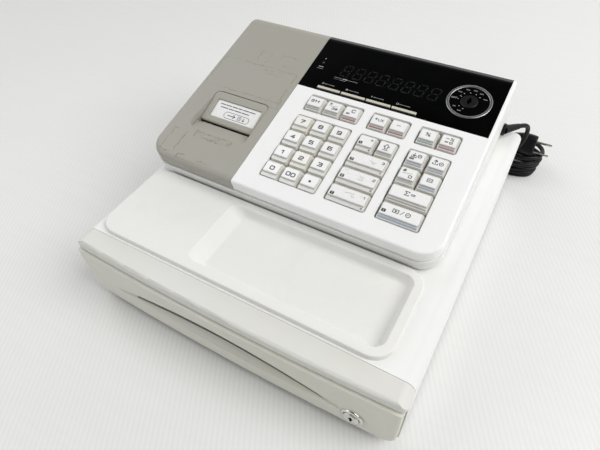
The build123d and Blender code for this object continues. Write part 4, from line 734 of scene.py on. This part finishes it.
for name, (kx, ks, w) in KX.items():
    cream = name in ("key_7", "key_2")
    paint(KEYCAP_CREAM if cream else KEYCAP, name)
    card = INSERT_CREAM if cream else (INSERT_WORN if name.startswith("key_dept_") and w == 2 else INSERT)
    st = STRIPE.get(name)
    m = Mesh(name + "_print", [card, INK, TAG, TAG_TEXT, STRIPE_MAT.get(st, GREY), PALE_MAT.get(st, GREY), RUB])
    cx, cs = kx, ks + 0.7
    topw = 13.5 if w == 1 else 33.7
    at = lambda u, v, n: W(cx + u, cs + v, n)
    slab(m, rrect(topw, 10.2, 0.9, 4), at, 2.58, 2.76, 0, 0.10)
    for g, u, v, gw, gh, line in LEG[name]:
        glyph(m, g, u, v, gw, gh, line * 1.18, at, 2.85, 1)
    if name in TAGS:
        u, v, tw, th, num = TAGS[name]
        m.face([W(cx + u + a, cs + v + b, 2.84) for a, b in rrect(tw, th, 0.5, 4)], 2)
        if num:
            glyph(m, num, u, v, tw * 0.34, th * 0.56, 0.38, at, 2.93, 3)
        else:
            for k in (-1, 0, 1):
                ribbon(m, [(u + k * tw * 0.26 - 0.35, v), (u + k * tw * 0.26 + 0.35, v)], 0.42, at, 2.93, 3)
    if st:
        half = 7.2 if w == 1 else 17.4
        if st != "d":
            ribbon(m, [(-half + 0.5, -7.55), (half - 0.5, -7.55)], 2.1, at, 0.58, 5)
        ribbon(m, [(-half + 0.4, -8.25), (half - 0.4, -8.25)], {"d": 1.6, "B": 1.5, "g": 1.1, "l": 1.1}.get(st, 1.4), at, 0.66, 4)
    for k, stroke in enumerate(WEAR.get(name, ())):
        ribbon(m, stroke, 0.9 - 0.15 * (k % 3), at, 2.82, 6)
    if name in LEDGE_NO:
        glyph(m, LEDGE_NO[name], (6.2 if w == 1 else 16.2), -8.0, 1.2, 1.5, 0.34, at, 0.60, 1)
    m.done(name, "keycap_grey")

# ------------------------------------------------------------------ panel print and ring
GHOST = ink("display_segment_ghost", (0.0030, 0.0037, 0.0035), 0.11, 0.23)
PRINT = ink("panel_light_print", (0.42, 0.42, 0.41), 0.3)
PRINT_DIM = ink("panel_grey_print", (0.17, 0.17, 0.17), 0.3)
m = Mesh("panel_print", [GHOST, PRINT, PRINT_DIM])
flat = lambda u, v, n: W(u, v, n)
for x0 in (-25, -11, 2, 15.4, 29.5, 42.8, 56, 70.2):
    w_, s0, s1, sl = 8.4, 160.8, 176.4, 0.17
    sm = (s0 + s1) / 2
    q = lambda u, v: (x0 + 0.8 + u + (v - s0) * sl, v)
    t, g = 1.5, 0.35
    for a, b in (((0.9, s1), (w_ - 0.9, s1)), ((0.9, sm), (w_ - 0.9, sm)), ((0.9, s0), (w_ - 0.9, s0)),
                 ((0, sm + 0.9), (0, s1 - 0.9)), ((w_, sm + 0.9), (w_, s1 - 0.9)), ((0, s0 + 0.9), (0, sm - 0.9)), ((w_, s0 + 0.9), (w_, sm - 0.9))):
        (ux, vy), (ux2, vy2) = q(*a), q(*b)
        d = Vector((ux2 - ux, vy2 - vy))
        L = d.length
        d.normalize()
        nrm = Vector((-d.y, d.x))
        A, B = Vector((ux, vy)), Vector((ux2, vy2))
        pts = [A - d * 0.25, A + d * 0.55 + nrm * t / 2, B - d * 0.55 + nrm * t / 2, B + d * 0.25, B - d * 0.55 - nrm * t / 2, A + d * 0.55 - nrm * t / 2]
        m.face([W(p.x, p.y, 0.09) for p in reversed(pts)], 0)
    m.face([W(x0 + w_ + 1.6 + a, s0 + b, 0.09) for a, b in rrect(1.3, 1.3, 0.5, 3)], 0)
ribbon(m, [(27.2, 159.5), (30.4, 178.0)], 0.18, flat, 0.10, 0)
# marks above the buttons, an icon and three dashes each
for (x0, x1), icon in zip(((-38.0, -12.5), (-10.6, 15.4), (17.0, 42.8), (44.4, 69.5)), ("clock", "slip", "up", "box")):
    u = x0 + 3.6
    glyph(m, icon, u, 144.6, 1.8, 2.0, 0.34, flat, 0.10, 1)
    for k, (a, b) in enumerate(((2.2, 5.0), (5.8, 8.0), (8.8, 12.6))):
        ribbon(m, [(u + a, 144.6), (u + b, 144.6)], 1.0 if k != 1 else 0.7, flat, 0.10, 2)
# fine marks beside the display
ribbon(m, [(-27.5, 156.8), (-18.8, 156.8)], 0.30, flat, 0.10, 1)
ribbon(m, [(-11.4, 156.8), (-1.0, 156.8)], 0.30, flat, 0.10, 1)
for k in range(3):
    ribbon(m, [(-17.6 + 1.9 * k, 156.8), (-16.5 + 1.9 * k, 156.8)], 1.0, flat, 0.10, 1)
ribbon(m, [(-27.5, 154.6), (-21.5, 154.6)], 0.26, flat, 0.10, 2)
ribbon(m, [(-20.4, 154.6), (-14.0, 154.6)], 0.7, flat, 0.10, 2)
glyph(m, "tri", -48.0, 178.5, 1.6, 1.9, 0.3, flat, 0.10, 1)
glyph(m, "box", -48.0, 172.3, 1.5, 1.5, 0.3, flat, 0.10, 2)
for k in range(3):
    ribbon(m, [(-50.4 + 1.9 * k, 166.0), (-49.2 + 1.9 * k, 166.0)], 0.8, flat, 0.10, 1)
ribbon(m, [(-51.4, 163.2), (-45.0, 163.2)], 0.8, flat, 0.10, 2)
# positions of the mode switch
MX, MS = 109.9, 171.2
polar = lambda r, a: (MX + r * math.cos(math.radians(a)), MS + r * math.sin(math.radians(a)))
for a in (46, 73, 102, 133, 180, 230, 256):
    u, v = polar(11.0, a)
    m.face([W(u + p, v + q_, 0.10) for p, q_ in rrect(1.0, 1.0, 0.45, 3)], 1)
for a, wd in ((27, 3.4), (58, 3.0), (84, 3.2), (112, 3.2), (142, 3.4), (222, 2.2), (250, 3.2)):
    u, v = polar(15.0, a)
    for k in range(2):
        ribbon(m, [(u - wd / 2 + k * wd * 0.55, v), (u - wd / 2 + k * wd * 0.55 + wd * 0.36, v)], 1.2, flat, 0.10, 2)
for k, g in enumerate("OFF"):
    glyph(m, g, MX - 16.6 + 1.9 * k, MS + 0.2, 1.2, 1.7, 0.3, flat, 0.10, 1)
a0, a1 = polar(9.2, 157), polar(11.2, 157)
ribbon(m, [a0, a1], 0.5, flat, 0.10, 1)
m.done("register", "panel_black")


def lathe(name, profile, origin, axis, xdir, seg, mats, body, slot=None, ups=None):
    """A turned ring: profile is (radius, height) points about an axis, in mm."""
    ax, xd = Vector(axis).normalized(), Vector(xdir).normalized()
    yd = ax.cross(xd)
    o = Vector(origin)
    mesh = Mesh(name, mats)
    rows = []
    for r, hgt in profile:
        rows.append([(o + (xd * math.cos(2 * math.pi * i / seg) + yd * math.sin(2 * math.pi * i / seg)) * r + ax * hgt) * MM for i in range(seg)])
    mesh.grid(rows, 0)
    return mesh.done(body, slot)


RING = metal("ring_satin_silver", (0.33, 0.335, 0.33), 0.34, (1, 1, 1), 0.35, grain=0.05)
prof = [(18.7, -0.05)] + [(20.15 - 1.35 * math.cos(math.pi * t / 8), 0.42 * math.sin(math.pi * t / 8)) for t in range(9)] + [(21.6, -0.05)]
lathe("mode_ring", prof, tuple(W(MX, MS, 0) / MM), (0, -S, C), (1, 0, 0), 96, [RING.m], "register", "rotor_steel")

# ------------------------------------------------------------------ lock ring on the drawer front
CHROME = metal("lock_ring_chrome", (0.74, 0.73, 0.70), 0.13, (1, 1, 1), 0.35, grain=0.05)
LOCK_Y = -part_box("drawer_lock")[0].y / MM
ring_y = -(LOCK_Y - 1.9)
prof = [(10.1, 1.4), (10.2, 0.2), (9.95, -0.35), (9.3, -0.75), (8.5, -0.9), (7.7, -0.75), (7.15, -0.3), (7.0, 0.3), (7.0, 1.4)]
lathe("lock_ring", [(r, -h_) for r, h_ in prof], (127.0, ring_y, 29.2), (0, -1, 0), (1, 0, 0), 72, [CHROME.m], "drawer", "lock_chrome")

# ------------------------------------------------------------------ label on the platen frame
LT = math.radians(8.9)


def L(u, v, n):
    """Label plane: u across from its middle, v up the slope, n out of it."""
    s0, n0 = 66.0 + 11.0 * math.cos(LT), -4.6 + 11.0 * math.sin(LT)
    return W(-104.75 + 1.25 + u, s0 + v * math.cos(LT) - n * math.sin(LT), n0 + v * math.sin(LT) + n * math.cos(LT))


LABEL = insert_material("label_white_paper", (0.79, 0.79, 0.785))
m = Mesh("platen_label", [LABEL, INK])
slab(m, rrect(54.9, 20.9, 0.9, 4), L, -1.49, -1.38, 0, 0.08)
o = [(u + 3.0, v - 4.4) for u, v in rrect(30.5, 7.4, 3.6, 8)]
ribbon(m, o, 0.5, L, -1.37, 1, closed=True)
ribbon(m, [(-8.0, -4.4), (0.5, -4.4)], 0.9, L, -1.37, 1)
ribbon(m, [(-1.2, -2.4), (1.2, -4.4), (-1.2, -6.4)], 0.8, L, -1.37, 1)
glyph(m, "slip", 6.5, -4.4, 3.6, 4.2, 0.5, L, -1.37, 1)
glyph(m, "down", 11.8, -4.4, 3.4, 4.2, 0.6, L, -1.37, 1)
for v, cuts in ((6.6, (-22.5, -17.0, -15.6, -9.0, -7.6, -1.5, -0.2, 4.0, 5.4, 12.5, 13.9, 20.5)), (3.0, (-20.5, -12.0, -10.6, -4.5, -3.2, 4.5, 5.8, 14.5))):
    for a, b in zip(cuts[::2], cuts[1::2]):
        ribbon(m, [(a, v), (b, v)], 1.0, L, -1.37, 1)
m.done("platen", "case_white")

# ------------------------------------------------------------------ cord
GLAND_EXIT = (157.605, 174.206, 89.399)
ROUTE = [GLAND_EXIT, (161.4, 179.0, 88.9), (165.6, 185.2, 85.6), (168.0, 189.6, 78.0), (168.0, 191.0, 62.0), (162.5, 194.5, 42.5), (150.0, 199.6, 26.0)]
# turns of the hank, clockwise from above: left tip, right tip, front and rear line at the right, front and rear line at the left
TURNS = [(83.0, 189.0, 202.6, 236.4, 202.4, 235.4), (75.5, 191.0, 203.6, 237.6, 195.5, 240.2), (76.5, 191.5, 203.0, 238.5, 194.0, 238.8),
         (74.8, 188.0, 200.0, 239.8, 193.6, 240.3), (77.0, 195.6, 202.5, 236.5, 193.2, 238.6), (75.6, 191.0, 197.0, 239.6, 193.1, 240.2),
         (79.5, 194.5, 199.0, 240.3, 193.0, 233.5)]
HEIGHTS = [(0.06, 18.5), (0.20, 12.0), (0.34, 6.0), (0.5, 3.2), (0.70, 2.5), (1.25, 2.5), (1.55, 3.6), (2.0, 8.0), (2.5, 10.2), (3.0, 13.3), (3.5, 15.8),
           (4.0, 18.6), (4.5, 21.2), (5.0, 24.0), (5.45, 26.6), (5.8, 33.5), (6.0, 30.5), (6.4, 30.0)]


def stadium(f, xl, xr, yfr, yrr, yfl, yrl):
    """Point of a turn: f goes from 0 to 1 round it from the middle of the front line, clockwise from above."""
    rr, cr, rl, cl = (yrr - yfr) / 2, (yrr + yfr) / 2, (yrl - yfl) / 2, (yrl + yfl) / 2
    xb, xa = xr - rr, xl + rl
    st = xb - xa
    d = f * (2 * st + math.pi * (rr + rl))
    if d < st / 2:
        t = (st / 2 + d) / st
        return xb - (xb - xa) * t, yfr + (yfl - yfr) * t
    d -= st / 2
    if d < math.pi * rl:
        a = -math.pi / 2 - d / rl
        return xa + rl * math.cos(a), cl + rl * math.sin(a)
    d -= math.pi * rl
    if d < st:
        return xa + (xb - xa) * d / st, yrl + (yrr - yrl) * d / st
    d -= st
    if d < math.pi * rr:
        a = math.pi / 2 - d / rr
        return xb + rr * math.cos(a), cr + rr * math.sin(a)
    d -= math.pi * rr
    return xb - (xb - xa) * d / st, yfr + (yfl - yfr) * d / st


points = list(ROUTE)
for i in range(127):
    T = 0.06 + i * 6.30 / 126
    k, f = int(T), T - int(T)
    a, b = TURNS[min(k, 6)], TURNS[min(k + 1, 6)]
    w_ = 0.0 if f < 0.5 else (f - 0.5) * 2
    w_ = w_ * w_ * (3 - 2 * w_)
    shape = [a[j] + (b[j] - a[j]) * w_ for j in range(6)]
    shape[0] -= 0.9
    shape[1] += 0.9
    px, py = stadium(f, *shape)
    points.append((px, py, float(np.interp(T, [h_[0] for h_ in HEIGHTS], [h_[1] for h_ in HEIGHTS]))))
points += [(107.0, 232.5, 31.3), (116.0, 226.5, 34.6), (125.5, 219.0, 38.6), (134.5, 214.4, 41.1), (142.5, 213.5, 41.4)]
cu = bpy.data.curves.new("mains_cord", "CURVE")
cu.dimensions = "3D"
sp = cu.splines.new("NURBS")
sp.points.add(len(points) - 1)
for p, q in zip(sp.points, points):
    p.co = (q[0] * MM, q[1] * MM, q[2] * MM, 1.0)
sp.order_u = 3
sp.use_endpoint_u = True
sp.resolution_u = 6
cu.bevel_depth = 0.0025
cu.bevel_resolution = 5
cu.use_fill_caps = True
cu.materials.append(CORD_MAT.m)
cord = bpy.data.objects.new("mains_cord", cu)
scene.collection.objects.link(cord)
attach(cord, "register")
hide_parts("power_cord", "cord_bundle")

# tie round the rear runs of the hank
tie = Mesh("cord_tie", [CLIP.m])
rows = []
for x in (118.0, 118.4, 121.0, 123.6, 124.0):
    e = 0.35 if x in (118.0, 124.0) else 0.0
    rows.append([Vector((x, 237.2 + u * (1 - 0.06 * e), 17.6 + v * (1 - 0.03 * e))) * MM for u, v in [(p * 1.0, q * 1.0) for p, q in rrect(12.4, 35.0, 4.6, 6)]])
tie.grid(rows, 0)
tie = tie.done("register", "cord_black")
sol = tie.modifiers.new("thickness", "SOLIDIFY")
sol.thickness = 0.0009
sol.offset = -1.0

# ------------------------------------------------------------------ floor
fl = bpy.data.meshes.new("floor")
bm = bmesh.new()
bmesh.ops.create_grid(bm, x_segments=8, y_segments=8, size=4.0)
bm.to_mesh(fl)
bm.free()
floor = bpy.data.objects.new("floor", fl)
scene.collection.objects.link(floor)
h = Sh("floor_pale_board")
streak = h.noise(9.0, 2.0, 0.5, co=h.scaled((1.0, 14.0, 1.0)))
cloud = h.noise(3.0, 3.0, 0.5)
col = h.mix(h.map(streak, 0.35, 0.65), (0.815, 0.815, 0.800, 1.0), (0.825, 0.825, 0.811, 1.0))
col = h.mix(h.map(cloud, 0.35, 0.7, 0.0, 0.4), col, (0.805, 0.808, 0.795, 1.0))
ribs = h.math("SINE", h.math("MULTIPLY", h.dot((190.0, 104.7, 0.0)), 2 * math.pi))
col = h.mix(h.map(ribs, -1.0, 1.0, 0.0, 0.075), col, (0.40, 0.40, 0.395, 1.0))
h.set("Base Color", col)
h.set("Roughness", h.map(cloud, 0.3, 0.7, 0.55, 0.65))
h.b.inputs["Specular IOR Level"].default_value = 0.25
h.bump(h.noise(600.0, 2.0), 0.04, 0.0001)
fl.materials.append(h.m)

# ------------------------------------------------------------------ light
world = bpy.data.worlds.new("studio")
scene.world = world
world.use_nodes = True
wt = world.node_tree
wt.nodes.clear()
wo = wt.nodes.new("ShaderNodeOutputWorld")
bg = wt.nodes.new("ShaderNodeBackground")
tc = wt.nodes.new("ShaderNodeTexCoord")
sx = wt.nodes.new("ShaderNodeSeparateXYZ")
mr = wt.nodes.new("ShaderNodeMapRange")
mr.interpolation_type = "SMOOTHSTEP"
wt.links.new(tc.outputs["Generated"], sx.inputs[0])
wt.links.new(sx.outputs[2], mr.inputs[0])
mr.inputs[1].default_value, mr.inputs[2].default_value = 0.38, 0.93
mr.inputs[3].default_value, mr.inputs[4].default_value = 0.66, 0.03
dp = wt.nodes.new("ShaderNodeVectorMath")
dp.operation = "DOT_PRODUCT"
wt.links.new(tc.outputs["Generated"], dp.inputs[0])
dp.inputs[1].default_value = (0.62, -0.78, 0.0)
mf = wt.nodes.new("ShaderNodeMapRange")
mf.interpolation_type = "SMOOTHSTEP"
wt.links.new(dp.outputs["Value"], mf.inputs[0])
mf.inputs[1].default_value, mf.inputs[2].default_value = 0.15, 0.95
mf.inputs[3].default_value, mf.inputs[4].default_value = 1.0, 0.40
mu = wt.nodes.new("ShaderNodeMath")
mu.operation = "MULTIPLY"
wt.links.new(mr.outputs[0], mu.inputs[0])
wt.links.new(mf.outputs[0], mu.inputs[1])
wt.links.new(mu.outputs[0], bg.inputs["Strength"])
bg.inputs["Color"].default_value = (0.985, 0.985, 0.985, 1.0)
wt.links.new(bg.outputs[0], wo.inputs[0])


def area(name, loc, target, size, power, colour=(1, 1, 1)):
    li = bpy.data.lights.new(name, "AREA")
    li.shape = "RECTANGLE"
    li.size, li.size_y = size
    li.energy = power
    li.color = colour
    ob = bpy.data.objects.new(name, li)
    ob.location = loc
    ob.rotation_mode = "QUATERNION"
    ob.rotation_quaternion = (Vector(target) - Vector(loc)).to_track_quat("-Z", "Y")
    scene.collection.objects.link(ob)
    return ob


area("right_soft_box", (1.45, 0.14, 1.75), (0.0, 0.0, 0.05), (1.5, 1.8), 41.0)
area("left_soft_box", (-1.55, 0.10, 1.75), (0.0, 0.0, 0.05), (1.5, 1.8), 13.5)
area("front_left_fill", (-0.75, -1.0, 0.55), (0.0, -0.17, 0.05), (0.6, 0.5), 2.2)
area("rear_soft_box", (0.2, 1.9, 0.9), (0.0, 0.0, 0.1), (2.4, 0.6), 6)

# ------------------------------------------------------------------ camera
yaw, pitch, roll = math.radians(31.562), math.radians(47.916), math.radians(-2.526)
fwd = Vector((-math.sin(yaw) * math.cos(pitch), math.cos(yaw) * math.cos(pitch), -math.sin(pitch)))
right = Vector((math.cos(yaw), math.sin(yaw), 0.0))
up = right.cross(fwd)
r2 = right * math.cos(roll) + up * math.sin(roll)
u2 = up * math.cos(roll) - right * math.sin(roll)
cam_data = bpy.data.cameras.new("camera")
cam_data.sensor_width = 36.0
cam_data.lens = 28.71
cam_data.clip_start, cam_data.clip_end = 0.01, 50.0
cam = bpy.data.objects.new("camera", cam_data)
scene.collection.objects.link(cam)
rot = Matrix((r2, u2, -fwd)).transposed().to_4x4()
cam.matrix_world = Matrix.Translation((0.17137, -0.31686, 0.41463)) @ rot
scene.camera = cam
scene.view_settings.view_transform = "Standard"
scene.view_settings.look = "None"
